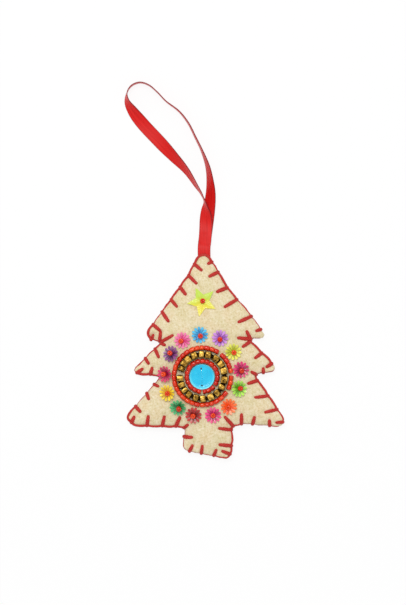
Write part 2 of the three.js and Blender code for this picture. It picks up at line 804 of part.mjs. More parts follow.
// The origin lies on the table under the middle of everything but the loop
ornament.updateMatrixWorld(true);
const box = new THREE.Box3();
for (const piece of ornament.children) {
  if (piece.name !== "ribbon_loop") box.expandByObject(piece, true);
}
const middle = box.getCenter(xyz(0, 0, 0));
ornament.position.set(-middle.x, -middle.y, 0);

export default ornament;
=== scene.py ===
# A stuffed felt christmas tree on a satin ribbon loop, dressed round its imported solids.
import json
import math
import random
from functools import partial

import bpy
import numpy as np
from mathutils import Matrix, Vector, noise
from mathutils.bvhtree import BVHTree
from mathutils.kdtree import KDTree

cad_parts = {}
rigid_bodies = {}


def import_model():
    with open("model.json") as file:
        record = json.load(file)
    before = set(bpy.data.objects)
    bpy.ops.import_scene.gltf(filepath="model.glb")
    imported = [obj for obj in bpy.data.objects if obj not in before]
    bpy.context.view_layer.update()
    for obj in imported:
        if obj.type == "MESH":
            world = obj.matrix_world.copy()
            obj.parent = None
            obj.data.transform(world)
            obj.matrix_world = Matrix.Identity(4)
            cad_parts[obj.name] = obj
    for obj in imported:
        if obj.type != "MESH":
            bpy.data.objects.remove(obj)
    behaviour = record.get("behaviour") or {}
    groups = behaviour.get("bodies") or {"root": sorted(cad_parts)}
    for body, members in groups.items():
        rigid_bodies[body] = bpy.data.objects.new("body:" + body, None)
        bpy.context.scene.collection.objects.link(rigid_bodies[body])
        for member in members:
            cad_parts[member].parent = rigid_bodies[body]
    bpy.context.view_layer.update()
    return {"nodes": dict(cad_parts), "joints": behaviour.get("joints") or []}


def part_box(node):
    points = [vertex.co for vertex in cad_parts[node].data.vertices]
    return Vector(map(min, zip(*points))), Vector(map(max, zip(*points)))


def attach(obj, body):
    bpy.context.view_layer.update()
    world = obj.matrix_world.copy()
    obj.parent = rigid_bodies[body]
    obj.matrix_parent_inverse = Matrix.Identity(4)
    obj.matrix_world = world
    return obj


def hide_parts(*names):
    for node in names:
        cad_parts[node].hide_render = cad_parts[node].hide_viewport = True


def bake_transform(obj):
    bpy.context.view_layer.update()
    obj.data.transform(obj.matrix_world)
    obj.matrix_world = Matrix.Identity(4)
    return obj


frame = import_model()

mm = 0.001
dice = random.Random(7)
up = Vector((0, 0, 1))


# Selecting, shaping and finishing

def clearSelection():
    if bpy.context.object and bpy.context.object.mode != "OBJECT":
        bpy.ops.object.mode_set(mode="OBJECT")
    bpy.ops.object.select_all(action="DESELECT")


def activate(piece):
    clearSelection()
    piece.select_set(True)
    bpy.context.view_layer.objects.active = piece


def openMesh(piece):
    activate(piece)
    bpy.ops.object.mode_set(mode="EDIT")
    bpy.ops.mesh.select_all(action="SELECT")


def closeMesh():
    bpy.ops.object.mode_set(mode="OBJECT")


def selectFaces(piece, isWanted):
    openMesh(piece)
    bpy.ops.mesh.select_mode(type="FACE")
    bpy.ops.mesh.select_all(action="DESELECT")
    closeMesh()
    for face in piece.data.polygons:
        face.select = isWanted(face)
    bpy.ops.object.mode_set(mode="EDIT")


def applyModifier(piece, kind, **settings):
    activate(piece)
    modifier = piece.modifiers.new(kind.title(), kind)
    for name, value in settings.items():
        setattr(modifier, name, value)
    bpy.ops.object.modifier_apply(modifier=modifier.name)


def faceOutwards(piece):
    openMesh(piece)
    bpy.ops.mesh.remove_doubles(threshold=0.002 * mm)
    bpy.ops.mesh.normals_make_consistent(inside=False)
    closeMesh()


def added(primitive, **settings):
    clearSelection()
    primitive(**settings)
    return bpy.context.object


def copyPiece(piece, name):
    copy = bpy.data.objects.new(name, piece.data.copy())
    bpy.context.scene.collection.objects.link(copy)
    return copy


def joinPieces(pieces, name):
    activate(pieces[0])
    for piece in pieces:
        piece.select_set(True)
    if len(pieces) > 1:
        bpy.ops.object.join()
    pieces[0].name = name
    pieces[0].data.name = name
    return pieces[0]


def pointsOf(piece):
    places = np.empty(3 * len(piece.data.vertices))
    piece.data.vertices.foreach_get("co", places)
    return places.reshape(-1, 3)


def movePoints(piece, places):
    piece.data.vertices.foreach_set("co", np.asarray(places, float).ravel())
    piece.data.update()


def paint(piece, name, values):
    layer = piece.data.attributes.get(name) or piece.data.attributes.new(name, "FLOAT", "POINT")
    layer.data.foreach_set("value", np.full(len(piece.data.vertices), values, np.float32))


def smoothShade(piece, angle=None):
    activate(piece)
    if angle is None:
        bpy.ops.object.shade_smooth()
    else:
        bpy.ops.object.shade_smooth_by_angle(angle=math.radians(angle))


def settle(piece, material, node, body=None):
    piece.data.materials.clear()
    piece.data.materials.append(material)
    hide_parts(node)
    if body:
        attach(piece, body)


# A smooth line through points, at a place counted in points from the first
def between(points, place):
    i = min(int(place), len(points) - 2)
    before = points[i - 1] if i else 2 * points[0] - points[1]
    after = points[i + 2] if i + 2 < len(points) else 2 * points[-1] - points[-2]
    four = [before, points[i], points[i + 1], after]
    knots = [0.0]
    for a, b in zip(four, four[1:]):
        knots.append(knots[-1] + math.sqrt((b.xyz - a.xyz).length))
    t = knots[1] + (place - i) * (knots[2] - knots[1])

    def blended(a, b, low, high):
        return a.lerp(b, (t - knots[low]) / (knots[high] - knots[low]))

    first = [blended(four[k], four[k + 1], k, k + 1) for k in range(3)]
    second = [blended(first[k], first[k + 1], k, k + 2) for k in range(2)]
    return blended(second[0], second[1], 1, 2)


def lengthsAlong(points):
    return np.concatenate([[0], np.cumsum(np.linalg.norm(np.diff(points, axis=0), axis=1))])


# The points of a line again, at places given as lengths along it
def atLengths(points, lengths, places):
    return np.stack([np.interp(places, lengths, row) for row in points.T], axis=1)


def evenPath(points, step):
    fine = np.array([between(points, k / 12) for k in range(12 * (len(points) - 1) + 1)])
    lengths = lengthsAlong(fine)
    count = max(2, round(lengths[-1] / step))
    return [Vector(place) for place in atLengths(fine, lengths, np.linspace(0, lengths[-1], count + 1))]


# Materials: one function turns a colour to linear, one sets or links a node's inputs, and one adds a node
# and gives the output that is wanted from it

def colour(code):
    parts = [int(code[i:i + 2], 16) / 255 for i in (1, 3, 5)]
    return (*[c / 12.92 if c <= 0.04045 else ((c + 0.055) / 1.055) ** 2.4 for c in parts], 1)


def plug(node, inputs):
    for name, value in inputs.items():
        if isinstance(value, bpy.types.NodeSocket):
            node.id_data.links.new(value, node.inputs[name])
        else:
            node.inputs[name].default_value = value


def addNode(tree, kind, inputs=None, stops=None, output=None, **settings):
    node = tree.nodes.new("ShaderNode" + kind)
    for name, value in settings.items():
        setattr(node, name, value)
    plug(node, inputs or {})
    if stops:
        ramp = node.color_ramp.elements
        while len(ramp) < len(stops):
            ramp.new(0.5)
        for element, (place, code) in zip(ramp, stops):
            element.position = place
            element.color = colour(code)
    if output:
        return node.outputs[output]
    return next((socket for socket in node.outputs if socket.enabled), None)


def newMaterial(name):
    material = bpy.data.materials.new(name)
    material.use_nodes = True
    tree = material.node_tree
    return material, partial(addNode, tree), tree.nodes["Principled BSDF"]


# A surface coloured by a noise of one grain, in millimetres. One attribute can shift its tone, another can
# paint a colour over it, and the grain can stand in relief, by a strength and a depth in millimetres.
def grained(name, grain, stops, finish, pattern, gain=(1, 0), shift=None, over=None, relief=None):
    material, add, shader = newMaterial(name)
    place = add("TexCoord", output="Object")
    grains = add("TexNoise", {"Vector": place, "Scale": 1 / (grain * mm), **pattern})
    level = add("Math", {0: grains, 1: gain[0], 2: gain[1]}, operation="MULTIPLY_ADD")
    if shift:
        lift = add("Attribute", output="Fac", attribute_name=shift)
        level = add("Math", {0: level, 1: lift}, operation="ADD")
    tone = add("ValToRGB", {"Fac": level}, stops)
    if over:
        share = add("Attribute", output="Fac", attribute_name=over[0])
        tone = add("Mix", {0: share, 6: tone, 7: colour(over[1])}, data_type="RGBA")
    plug(shader, {"Base Color": tone, **finish})
    if relief:
        bump = add("Bump", {"Height": grains, "Strength": relief[0], "Distance": relief[1] * mm})
        plug(shader, {"Normal": bump})
    return material


# Camera straight over the table, as the photograph was taken
camera = {"over": (-1.27, 24.44), "height": 1200, "frameTall": 284.4, "sensor": 36, "focus": 5}
lens = added(
    bpy.ops.object.camera_add, location=Vector((*camera["over"], camera["height"])) * mm, rotation=(0, 0, 0))
lens.data.sensor_width = camera["sensor"]
lens.data.lens = camera["sensor"] * (camera["height"] - camera["focus"]) / camera["frameTall"]
bpy.context.scene.camera = lens
bpy.context.scene.view_settings.view_transform = "Standard"
print("camera over", camera["over"])

# Satin ribbon: x from its middle at the seam, y out from the fold, how far its lower edge is raised
# off the table, and its roll in degrees (0 flat, 90 on edge), all the way round the loop
ribbon = {
    "width": 6, "thickness": 0.4, "middle": -0.74, "fold": 49.515, "seam": 4.45, "layer": 0.2,
    "loopStart": 0.95, "sewnIn": 3.9, "tail": 12.4, "free": 194, "steps": 210, "across": 8, "camber": 0.12,
    "bendFrom": -0.5, "bendTo": 4, "exit": 47, "lap": 0.4, "ripple": 0.03, "floatWide": 0.5, "floatLong": 14,
    "camberFrom": 3,
    "route": [
        (0.3, 3.3, 3.75, 1), (0.65, 7.8, 2.55, 3), (0.8, 12.8, 1.65, 14), (0.7, 17.8, 1, 46),
        (0.25, 22.3, 0.9, 84), (-1.4, 26.3, 0.6, 84), (-3.6, 29.7, 0.35, 77), (-8.4, 37, 0.1, 63),
        (-14.6, 43.8, 0.1, 40), (-21.6, 51.3, 0.1, 12), (-28.9, 59.1, 0.1, 12), (-33.8, 65.3, 0.1, 42),
        (-36.3, 69.8, 0.1, 69), (-36.4, 73.5, 0.1, 86), (-34.3, 76.9, 0.1, 90), (-30.3, 78.5, 0.1, 90),
        (-26.1, 77.3, 0.1, 90), (-22, 73.9, 0.1, 90), (-18.1, 69.8, 0.1, 90), (-11.7, 64.8, 0.1, 92),
        (-7.3, 59.1, 0.1, 94), (-4.1, 52.7, 0.1, 95), (-1.1, 46.5, 0.1, 97), (1.6, 39.2, 0.1, 107),
        (2.7, 33.2, 0.1, 118), (3.1, 26.2, 0.1, 137), (2.2, 18.1, 0.1, 163), (1.2, 10.8, 0.3, 178),
        (0.4, 4.8, 1.9, 180),
    ],
}


def satinRibbon():
    # Polyester satin, woven warp-faced with a firm selvedge: long floats along it catch the light in a broad
    # soft streak, and the edges are painted darker, a painted shade. The floats are 0.1 mm, drawn 0.5 mm
    # wide so that they show.
    material, add, shader = newMaterial("satinRibbon")
    place = add("UVMap")
    floatCount = (ribbon["width"] / ribbon["floatWide"], ribbon["free"] / ribbon["floatLong"], 1)
    along = add("Mapping", {"Vector": place, "Scale": floatCount})
    floats = add("TexNoise", {"Vector": along, "Scale": 1, "Detail": 3})
    body = add("ValToRGB", {"Fac": floats}, [(0.3, "#C31815"), (0.7, "#E02421")])
    across = add("SeparateXYZ", {"Vector": place})
    centred = add("Math", {0: across, 1: 0.5}, operation="SUBTRACT")
    edge = add("Math", {0: centred}, operation="ABSOLUTE")
    # The edges are painted darker: painted shade along both sides of the ribbon
    edgeShade = add("MapRange", {"Value": edge, "From Min": 0.46, "From Max": 0.485})
    red = add("Mix", {0: edgeShade, 6: body, 7: colour("#861214")}, data_type="RGBA")
    relief = add("Bump", {"Height": floats, "Strength": 0.12, "Distance": 0.05 * mm})
    plug(shader, {
        "Base Color": red, "Normal": relief, "Roughness": 0.45, "Specular IOR Level": 0.15,
        "Anisotropic": 0.5})
    return material


def ribbonPlaces():
    half = ribbon["width"] / 2
    middle, fold, seam, layer = (ribbon[key] for key in ("middle", "fold", "seam", "layer"))
    places = [Vector((middle, fold + y, seam + layer, 0)) for y in (-ribbon["sewnIn"], ribbon["loopStart"])]
    for x, y, raised, roll in ribbon["route"]:
        turn = math.radians(roll)
        height = raised + half * abs(math.sin(turn)) + ribbon["thickness"] / 2 * abs(math.cos(turn))
        places.append(Vector((middle + x, fold + y, height, turn)))
    for y in (ribbon["loopStart"], -ribbon["sewnIn"]):
        places.append(Vector((middle, fold + y, seam - layer, math.pi)))
    return places


def flatStrip(name, along):
    strip = added(
        bpy.ops.mesh.primitive_grid_add, x_subdivisions=ribbon["across"], y_subdivisions=along, size=1)
    strip.name = name
    return strip


def thicken(strip):
    applyModifier(strip, "SOLIDIFY", thickness=ribbon["thickness"] * mm, offset=0)
    faceOutwards(strip)
    smoothShade(strip, 50)


def satinLoop():
    places = ribbonPlaces()
    span = len(places) - 1
    strip = flatStrip("satin_loop", ribbon["steps"])
    shaped = []
    for x, y, _ in pointsOf(strip):
        place = (y + 0.5) * span
        here = between(places, place)
        ahead, behind = between(places, min(place + 0.02, span)), between(places, max(place - 0.02, 0))
        run = (ahead - behind).xyz.normalized()
        level = run.cross(up).normalized()
        rise = level.cross(run)
        side = level * math.cos(here.w) + rise * math.sin(here.w)
        face = run.cross(side)
        isFree = ribbon["camberFrom"] < place < span - ribbon["camberFrom"]
        bow = ribbon["camber"] * (1 - (2 * x) ** 2) if isFree else 0
        shaped.append((here.xyz + side * (x * ribbon["width"]) + face * bow) * mm)
    movePoints(strip, shaped)
    thicken(strip)
    path = [between(places, span * k / ribbon["steps"]).xyz * mm for k in range(ribbon["steps"] + 1)]
    return strip, path


satin = satinRibbon()
satinPiece, satinPath = satinLoop()
settle(satinPiece, satin, "ribbon_loop")
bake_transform(satinPiece)


# The two ends of the ribbon, sewn in between the felts
def satinEnds():
    length = ribbon["tail"] - ribbon["sewnIn"] + ribbon["lap"]
    ends = []
    for side in (-1, 1):
        strip = flatStrip("satin_end", 12)
        places = pointsOf(strip)
        places[:, 2] = ribbon["seam"] + side * ribbon["layer"] + ribbon["ripple"] * np.sin(9 * places[:, 0])
        places[:, 0] = ribbon["middle"] + places[:, 0] * ribbon["width"]
        places[:, 1] = ribbon["fold"] - ribbon["tail"] + (places[:, 1] + 0.5) * length
        movePoints(strip, places * mm)
        thicken(strip)
        ends.append(strip)
    return joinPieces(ends, "satin_ends")


settle(satinEnds(), satin, "ribbon_tail", "tree")
print("ribbon laid")

# White card under and behind, and soft light from over the tip of the tree, in metres
stage = {
    "card": 8, "cardGlow": 0.9, "around": 0.58, "lamp": (-0.08, 0.32, 1.05), "lampAim": (0, 0.01, 0),
    "lampSize": 0.4, "lampPower": 6,
}


def raySeen(add):
    rays = add("LightPath").node.outputs
    shiny = add("Math", {0: rays["Is Glossy Ray"], 1: rays["Is Transmission Ray"]}, operation="MAXIMUM")
    return add("Math", {0: rays["Is Camera Ray"], 1: shiny}, operation="MAXIMUM")


def whiteCard():
    # Matt white card, which shows white to the camera and still takes a pale shadow
    material, add, shader = newMaterial("whiteCard")
    share = add("Math", {0: raySeen(add), 1: stage["cardGlow"]}, operation="MULTIPLY")
    matt = add("BsdfDiffuse", {"Color": colour("#FAFAFA")})
    white = add("Emission", {"Color": (1, 1, 1, 1), "Strength": 1})
    mixed = add("MixShader", {0: share, 1: matt, 2: white})
    material.node_tree.nodes.remove(shader)
    plug(material.node_tree.nodes["Material Output"], {"Surface": mixed})
    return material


def studio():
    card = added(bpy.ops.mesh.primitive_plane_add, size=stage["card"], location=(0, 0, -0.05 * mm))
    card.name = "card"
    card.data.materials.append(whiteCard())
    world = bpy.data.worlds.new("studio")
    bpy.context.scene.world = world
    world.use_nodes = True
    world.node_tree.nodes.clear()
    add = partial(addNode, world.node_tree)
    strength = add("MapRange", {"Value": raySeen(add), "To Min": stage["around"], "To Max": 1})
    add("OutputWorld", {"Surface": add("Background", {"Color": (1, 1, 1, 1), "Strength": strength})})
    lamp = added(bpy.ops.object.light_add, type="AREA", location=stage["lamp"])
    lamp.data.size = stage["lampSize"]
    lamp.data.energy = stage["lampPower"]
    aim = Vector(stage["lampAim"]) - lamp.location
    lamp.rotation_euler = aim.to_track_quat("-Z", "Y").to_euler()


studio()
print("studio lit")

# Blanket stitch, anticlockwise from the top: where each bar leaves the edge, where it goes into the front,
# and how far forward the edge thread lies from there to the next bar (1 on the front edge, 0 behind)
stitches = [
    (-5.3, 42.5, -1.7, 39.3, 0.9), (-8.2, 37.1, -4.1, 33.1, 0.95), (-12.3, 31.6, -9.1, 27.8, 0.95),
    (-16.4, 25.9, -13.3, 22.2, 0.75), (-20.5, 19.8, -17.3, 15.3, 0.4), (-24.6, 14.2, -21.1, 10.9, 1),
    (-26.1, 6.9, -24.4, 9.5, 0.5), (-21.1, 7.2, -21.1, 10.9, 0.6), (-18.8, 7.2, -15.2, 9.2, 1),
    (-19.3, 5.1, -15.9, 3.0, 0.85), (-24.1, 2.6, -21.9, -1.6, 0.5), (-28.5, -2.0, -26.6, -4.6, 0.4),
    (-32.7, -9.3, -29.4, -6.6, 1), (-26.1, -9.3, -25.0, -6.0, 0.8), (-21.5, -9.3, -19.6, -9.2, 0.2),
    (-24.8, -13.2, -20.5, -15.8, 0.2), (-28.5, -17.8, -26.6, -21.3, 0.2), (-33.0, -24.1, -30.5, -27.1, 0.8),
    (-36.2, -33.0, -33.4, -29.0, 0.9), (-27.7, -33.3, -26.9, -28.6, 0.9), (-20.5, -33.5, -19.3, -28.7, 1),
    (-13.9, -33.3, -11.9, -29.0, 1), (-9.3, -33.6, -6.0, -31.0, 0), (-9.3, -38.6, -6.1, -38.9, 0.1),
    (-7.9, -46.5, -6.0, -42.4, 0.1), (-2.3, -47.2, -1.5, -42.5, 0.3), (3.6, -48.4, 5.1, -44.4, 0.6),
    (11.8, -46.9, 7.5, -45.2, 0.8), (12.1, -42.9, 6.2, -42.2, 0.8), (11.8, -35.3, 5.9, -34.5, 0.9),
    (12.5, -33.3, 8.8, -29.0, 0.8), (16.8, -32.7, 16.8, -27.7, 0.1), (22.0, -33.8, 23.0, -29.0, 0.1),
    (29.9, -34.3, 29.9, -30.5, 0.3), (37.2, -33.0, 32.9, -31.9, 0.6), (33.6, -25.5, 27.6, -27.1, 0.85),
    (29.9, -18.8, 22.9, -20.1, 0.95), (24.7, -12.1, 19.4, -13.7, 0.8), (23.7, -9.6, 19.4, -7.0, 0.2),
    (27.0, -7.8, 27.0, -6.2, 0.3), (31.9, -3.6, 28.4, -6.0, 0.9), (26.5, 1.1, 22.9, -1.8, 0.9),
    (21.4, 6.3, 16.8, 3.3, 0.7), (19.4, 8.2, 14.8, 7.9, 0.5), (19.7, 8.2, 19.1, 11.2, 0.1),
    (26.3, 12.2, 23.4, 11.0, 0.3), (21.4, 18.1, 15.1, 15.1, 0.5), (14.5, 25.7, 8.6, 22.2, 0.9),
    (10.2, 31.4, 4.7, 29.2, 1), (6.2, 38.9, 1.4, 36.5, 0.6), (3.6, 44.2, 0.8, 42.5, 1),
]

# Its thread: edgeOut and edgeZ are where it lies behind and what the front edge adds, overEdge is how far out
# and how high a bar goes round the edge, and swell is its thickness from the front hole to the back one
floss = {
    "bar": 0.92, "edge": 0.6, "strands": 6, "around": 24, "ridge": 0.13, "turn": 9, "step": 0.42, "rimZ": 5.5,
    "lift": 0.3, "sunk": 0.7, "flat": 0.82, "backReach": 3.2, "tableRoom": 0.55, "sequinRoom": 0.85,
    "least": 1.2, "knee": 0.45, "kneeLift": 0.2, "crown": 0.08, "crownAt": (0.66, 0.4), "crownRoom": 0.9,
    "shoulder": 0.75, "backInsets": (0.9, 2.1), "diveShade": 0.05, "barUneven": (0.93, 1.08),
    "edgeOut": (-0.4, 0.55), "edgeZ": (3.9, 1.7), "edgeStep": 1.3, "edgeUneven": (0.92, 1.1), "slack": 0.1,
    "wander": 0.05, "bob": 0.08,
    "overEdge": ((0.05, 5.7), (0.4, 4.45), (0.05, 3.2)),
    "swell": ((0, 0.5), (0.06, 0.78), (0.3, 1), (0.5, 0.9), (0.85, 0.8), (1, 0.5)),
}

# Sewn-on sequins: where the bead on each leans, and the deep and light tones of its film
flowers = {
    "pink": ((-0.7, -0.4), "#CF3078", "#FB88BA"), "blue": ((0.35, -0.65), "#1272B4", "#58CCFA"),
    "violet": ((-0.1, -0.7), "#863CA2", "#DA9AEE"), "citron": ((0.3, -0.4), "#A4AE14", "#F2F666"),
    "magenta": ((0.2, -0.7), "#8C1040", "#E8347A"), "lime": ((0.45, 0.2), "#4C9212", "#B8F25A"),
    "orange": ((-0.5, -0.3), "#F04C0E", "#FF8040"), "rose": ((0, -0.1), "#A61652", "#F85092"),
    "maroon": ((-0.25, -0.35), "#6E0A0C", "#CC3234"), "green": ((0.8, -0.4), "#12602E", "#54C078"),
    "yellow": ((0.7, -0.2), "#D0920A", "#FFE63C"), "crimson": ((-0.1, 0), "#880E38", "#E24070"),
    "purple": ((0, 0.3), "#3E1446", "#985494"),
}
sequin = {
    "radius": 3.9, "valley": 1.9, "hole": 0.55, "petals": 12, "petalSpokes": 8, "rings": 9, "thickness": 0.16,
    "cup": 0.85, "rib": 0.2, "starRadius": 7.2, "starValley": 3.4, "starLean": -101, "starSpokes": 12,
    "starRings": 14, "starCrease": 0.28, "starLift": 0.35, "starBeadLean": (0.35, 0.3),
    "starTones": ("#EBDF4A", "#C4E052"), "shade": 0.18,
}
joints = {joint["child"]: joint for joint in frame["joints"]}


def seatOf(body):
    joint = joints[body]
    return Vector(joint["pos_m"]) / mm, Vector(joint["axis"]).normalized()


sequinCircles = [(seatOf("star")[0], sequin["starRadius"])]
sequinCircles += [(seatOf("flower_" + name)[0], sequin["radius"]) for name in flowers]

medallion = {"middle": (-1.74, -10.37), "radius": 14.6}


# Felt: each half is remeshed from its solid, puffed by the filling, then drawn in by the stitches
felt = {
    "voxel": 0.6, "smoothing": 8, "pillowVoxel": 0.9, "scale": 10, "pressure": 4, "frames": 20, "cap": 0.65,
    "groove": 0.42, "grooveReach": 1.05, "dimple": 0.4, "drawIn": 0.2, "drawReach": 1.5, "nap": 0.05,
    "rim": (3.1, 5.8), "seam": 4.45, "lip": (0.8, 2), "tableZ": 0.15, "sewnReach": 0.7, "trimRoom": 0.4,
    "dimpleReach": 0.6, "closed": 0.02, "napGrain": 1.1, "napFrom": 0.3, "rimStep": 0.4, "rimOutside": 1.2,
    "rimLevels": (-0.5, -0.2, 0.1),
}


def creamWoolFelt():
    # Needled wool felt: matted fibres, cut with soft edges. Dead matt, with a faint bloom at the rim and a
    # mottle of paler and darker wool. Fibres are 0.03 mm, drawn about 0.25 mm wide so that they show.
    material, add, shader = newMaterial("creamWoolFelt")
    place = add("TexCoord", output="Object")
    mottle = add("TexNoise", {"Vector": place, "Scale": 1 / (0.9 * mm), "Detail": 4, "Roughness": 0.7})
    creams = [(0.28, "#C9B785"), (0.45, "#E2D2A8"), (0.58, "#EBDDBA"), (0.75, "#F7EED7")]
    wool = add("ValToRGB", {"Fac": mottle}, creams)
    cloud = add("TexNoise", {"Vector": place, "Scale": 1 / (6 * mm), "Detail": 2})
    tone = add("ValToRGB", {"Fac": cloud}, [(0.35, "#E4E3BE"), (0.5, "#FFFFFF"), (0.65, "#F6DFC4")])
    toned = add("Mix", {0: 0.3, 6: wool, 7: tone}, data_type="RGBA", blend_type="MULTIPLY")
    heights = []
    for turn in (0.5, -0.7, 1.5):
        fibreSize = (1 / (0.25 * mm), 1 / (2.4 * mm), 1 / (0.8 * mm))
        lie = add("Mapping", {"Vector": place, "Rotation": (0, 0, turn), "Scale": fibreSize})
        heights.append(add("TexNoise", {"Vector": lie, "Scale": 1, "Detail": 1, "Distortion": 0.6}))
    top = add("Math", {0: heights[0], 1: heights[1]}, operation="MAXIMUM")
    top = add("Math", {0: top, 1: heights[2]}, operation="MAXIMUM")
    pale = add("MapRange", {"Value": top, "From Min": 0.62, "From Max": 0.78, "To Max": 0.45})
    fibred = add("Mix", {0: pale, 6: toned, 7: colour("#FAF4E2")}, data_type="RGBA")
    height = add("Math", {0: top, 1: mottle}, operation="ADD")
    relief = add("Bump", {"Height": height, "Strength": 0.5, "Distance": 0.12 * mm})
    plug(shader, {
        "Base Color": fibred, "Normal": relief, "Roughness": 0.95, "Specular IOR Level": 0.15,
        "Sheen Weight": 0.2, "Sheen Roughness": 0.6})
    return material


def polyesterFibre():
    # Polyester toy filling: crimped white fibre in a loose lump, matt with a soft sheen. The fibres are
    # 0.03 mm, and their tufts, about 0.8 mm across, are what is drawn.
    return grained(
        "polyesterFibre", 0.8, [(0.3, "#DEDBD2"), (0.7, "#F8F7F3")], {"Roughness": 0.9, "Sheen Weight": 0.4},
        {"Detail": 5, "Distortion": 1.5}, relief=(0.7, 0.3))


def solidCopy(node, name):
    copy = copyPiece(frame["nodes"][node], name)
    openMesh(copy)
    bpy.ops.mesh.remove_doubles(threshold=0.001 * mm)
    closeMesh()
    return copy


def barDistance(places, bar):
    a, b = np.array(bar[:2]), np.array(bar[2:4])
    run = b - a
    share = np.clip((places[:, :2] - a) @ run / (run @ run), 0, 1)
    return np.linalg.norm(places[:, :2] - a - share[:, None] * run, axis=1)


def underTrim(places):
    x, y = medallion["middle"]
    hidden = np.hypot(places[:, 0] - x, places[:, 1] - y) < medallion["radius"]
    for (cx, cy, _), radius in sequinCircles:
        hidden |= np.hypot(places[:, 0] - cx, places[:, 1] - cy) < radius + felt["trimRoom"]
    return hidden


# What the filling does to the pillow, as how far each point of it moves, from a cloth simulation
def puffedPillow():
    layers = [solidCopy(node, node + "_pillow") for node in ("front_felt", "back_felt", "stuffing")]
    pillow = joinPieces(layers, "pillow")
    big = felt["scale"] * mm
    pillow.data.transform(Matrix.Scale(felt["scale"], 4))
    applyModifier(pillow, "REMESH", mode="VOXEL", voxel_size=felt["pillowVoxel"] * big)
    places = pointsOf(pillow)
    outermost = int(np.argmax(places[:, 0]))
    openMesh(pillow)
    bpy.ops.mesh.select_mode(type="VERT")
    bpy.ops.mesh.select_all(action="DESELECT")
    closeMesh()
    pillow.data.vertices[outermost].select = True
    bpy.ops.object.mode_set(mode="EDIT")
    bpy.ops.mesh.select_linked()
    bpy.ops.mesh.select_all(action="INVERT")
    bpy.ops.mesh.delete(type="VERT")
    closeMesh()
    before = pointsOf(pillow) / big
    held = (before[:, 2] > felt["rim"][0]) & (before[:, 2] < felt["rim"][1])
    held |= (before[:, 2] < felt["tableZ"]) | (underTrim(before) & (before[:, 2] > felt["seam"]))
    for bar in stitches:
        held |= barDistance(before, bar) < felt["sewnReach"]
    pins = pillow.vertex_groups.new(name="sewn")
    pins.add([int(i) for i in np.nonzero(held)[0]], 1, "REPLACE")
    activate(pillow)
    cloth = pillow.modifiers.new("Cloth", "CLOTH")
    cloth.settings.quality = 5
    cloth.settings.mass = 0.3
    cloth.settings.use_pressure = True
    cloth.settings.uniform_pressure_force = felt["pressure"]
    cloth.settings.effector_weights.gravity = 0
    cloth.settings.vertex_group_mass = "sewn"
    cloth.collision_settings.use_collision = False
    for step in range(1, felt["frames"] + 1):
        bpy.context.scene.frame_set(step)
    after = pointsOf(pillow.evaluated_get(bpy.context.evaluated_depsgraph_get())) / big
    bpy.context.scene.frame_set(1)
    moved = after - before
    far = np.maximum(np.linalg.norm(moved, axis=1), 1e-9)
    moved *= np.minimum(1, felt["cap"] / far)[:, None]
    moved[before[:, 2] < felt["tableZ"]] = 0
    bpy.data.objects.remove(pillow)
    print("pillow puffed by up to", round(float(np.abs(moved).max()), 2), "mm")
    return before, moved


def puff(places, pillow):
    before, moved = pillow
    tree = KDTree(len(before))
    for i, place in enumerate(before):
        tree.insert(place, i)
    tree.balance()
    shift = np.zeros_like(places)
    for k, place in enumerate(places):
        near = tree.find_n(place, 4)
        weights = [1 / (distance + 0.05) for _, _, distance in near]
        shift[k] = sum(moved[i] * w for (_, i, _), w in zip(near, weights)) / sum(weights)
    return places + shift


# Each bar pulls a groove into the face and draws the edge in; on the back the bar runs straight in
def drawIn(places, side):
    for bar in stitches:
        edge, inner = np.array(bar[:2]), np.array(bar[2:4])
        inward = (inner - edge) / np.linalg.norm(inner - edge)
        if side < 0:
            inner = edge + inward * floss["backReach"]
        away = barDistance(places, (*edge, *inner))
        sink = felt["groove"] * np.exp(-(away / felt["grooveReach"]) ** 2)
        hole = np.linalg.norm(places[:, :2] - inner, axis=1)
        sink += felt["dimple"] * np.exp(-(hole / felt["dimpleReach"]) ** 2)
        atEdge = np.exp(-(np.linalg.norm(places[:, :2] - edge, axis=1) / felt["drawReach"]) ** 2)
        places[:, 2] -= side * sink * (1 - 0.5 * atEdge)
        places[:, :2] += felt["drawIn"] * atEdge[:, None] * inward
    return places


# The smoothed lips of the two halves are pressed together again along the seam
def closeSeam(places, side):
    height = side * (places[:, 2] - felt["seam"])
    (low, high), closed = felt["lip"], felt["closed"]
    pressed = closed + (high - closed) * np.clip((height - low) / (high - low), 0, 1)
    places[:, 2] = felt["seam"] + side * np.where(height < high, pressed, height)
    return places


def feltHalf(node, name, side, pillow):
    half = solidCopy(node, name)
    applyModifier(half, "REMESH", mode="VOXEL", voxel_size=felt["voxel"] * mm)
    applyModifier(half, "SMOOTH", factor=0.5, iterations=felt["smoothing"])
    places = pointsOf(half) / mm
    if pillow:
        places = puff(places, pillow)
    places = closeSeam(drawIn(places, side), side)
    for k, place in enumerate(places):
        if abs(place[2] - felt["seam"]) > felt["napFrom"]:
            places[k, 2] += felt["nap"] * noise.noise(Vector(place) / felt["napGrain"])
    places[:, 2] = np.maximum(places[:, 2], felt["closed"])
    movePoints(half, places * mm)
    applyModifier(half, "SUBSURF", levels=1, render_levels=1)
    smoothShade(half)
    return half


pillow = puffedPillow()
wool = creamWoolFelt()
feltFront = feltHalf("front_felt", "felt_front", 1, pillow)
feltBack = feltHalf("back_felt", "felt_back", -1, pillow)
settle(feltFront, wool, "front_felt", "tree")
settle(feltBack, wool, "back_felt", "tree")
print("felts", len(feltFront.data.polygons), len(feltBack.data.polygons), "faces")


fibre = {"voxel": 1.1, "smoothing": 3, "tuft": 0.25, "tuftSize": 3}


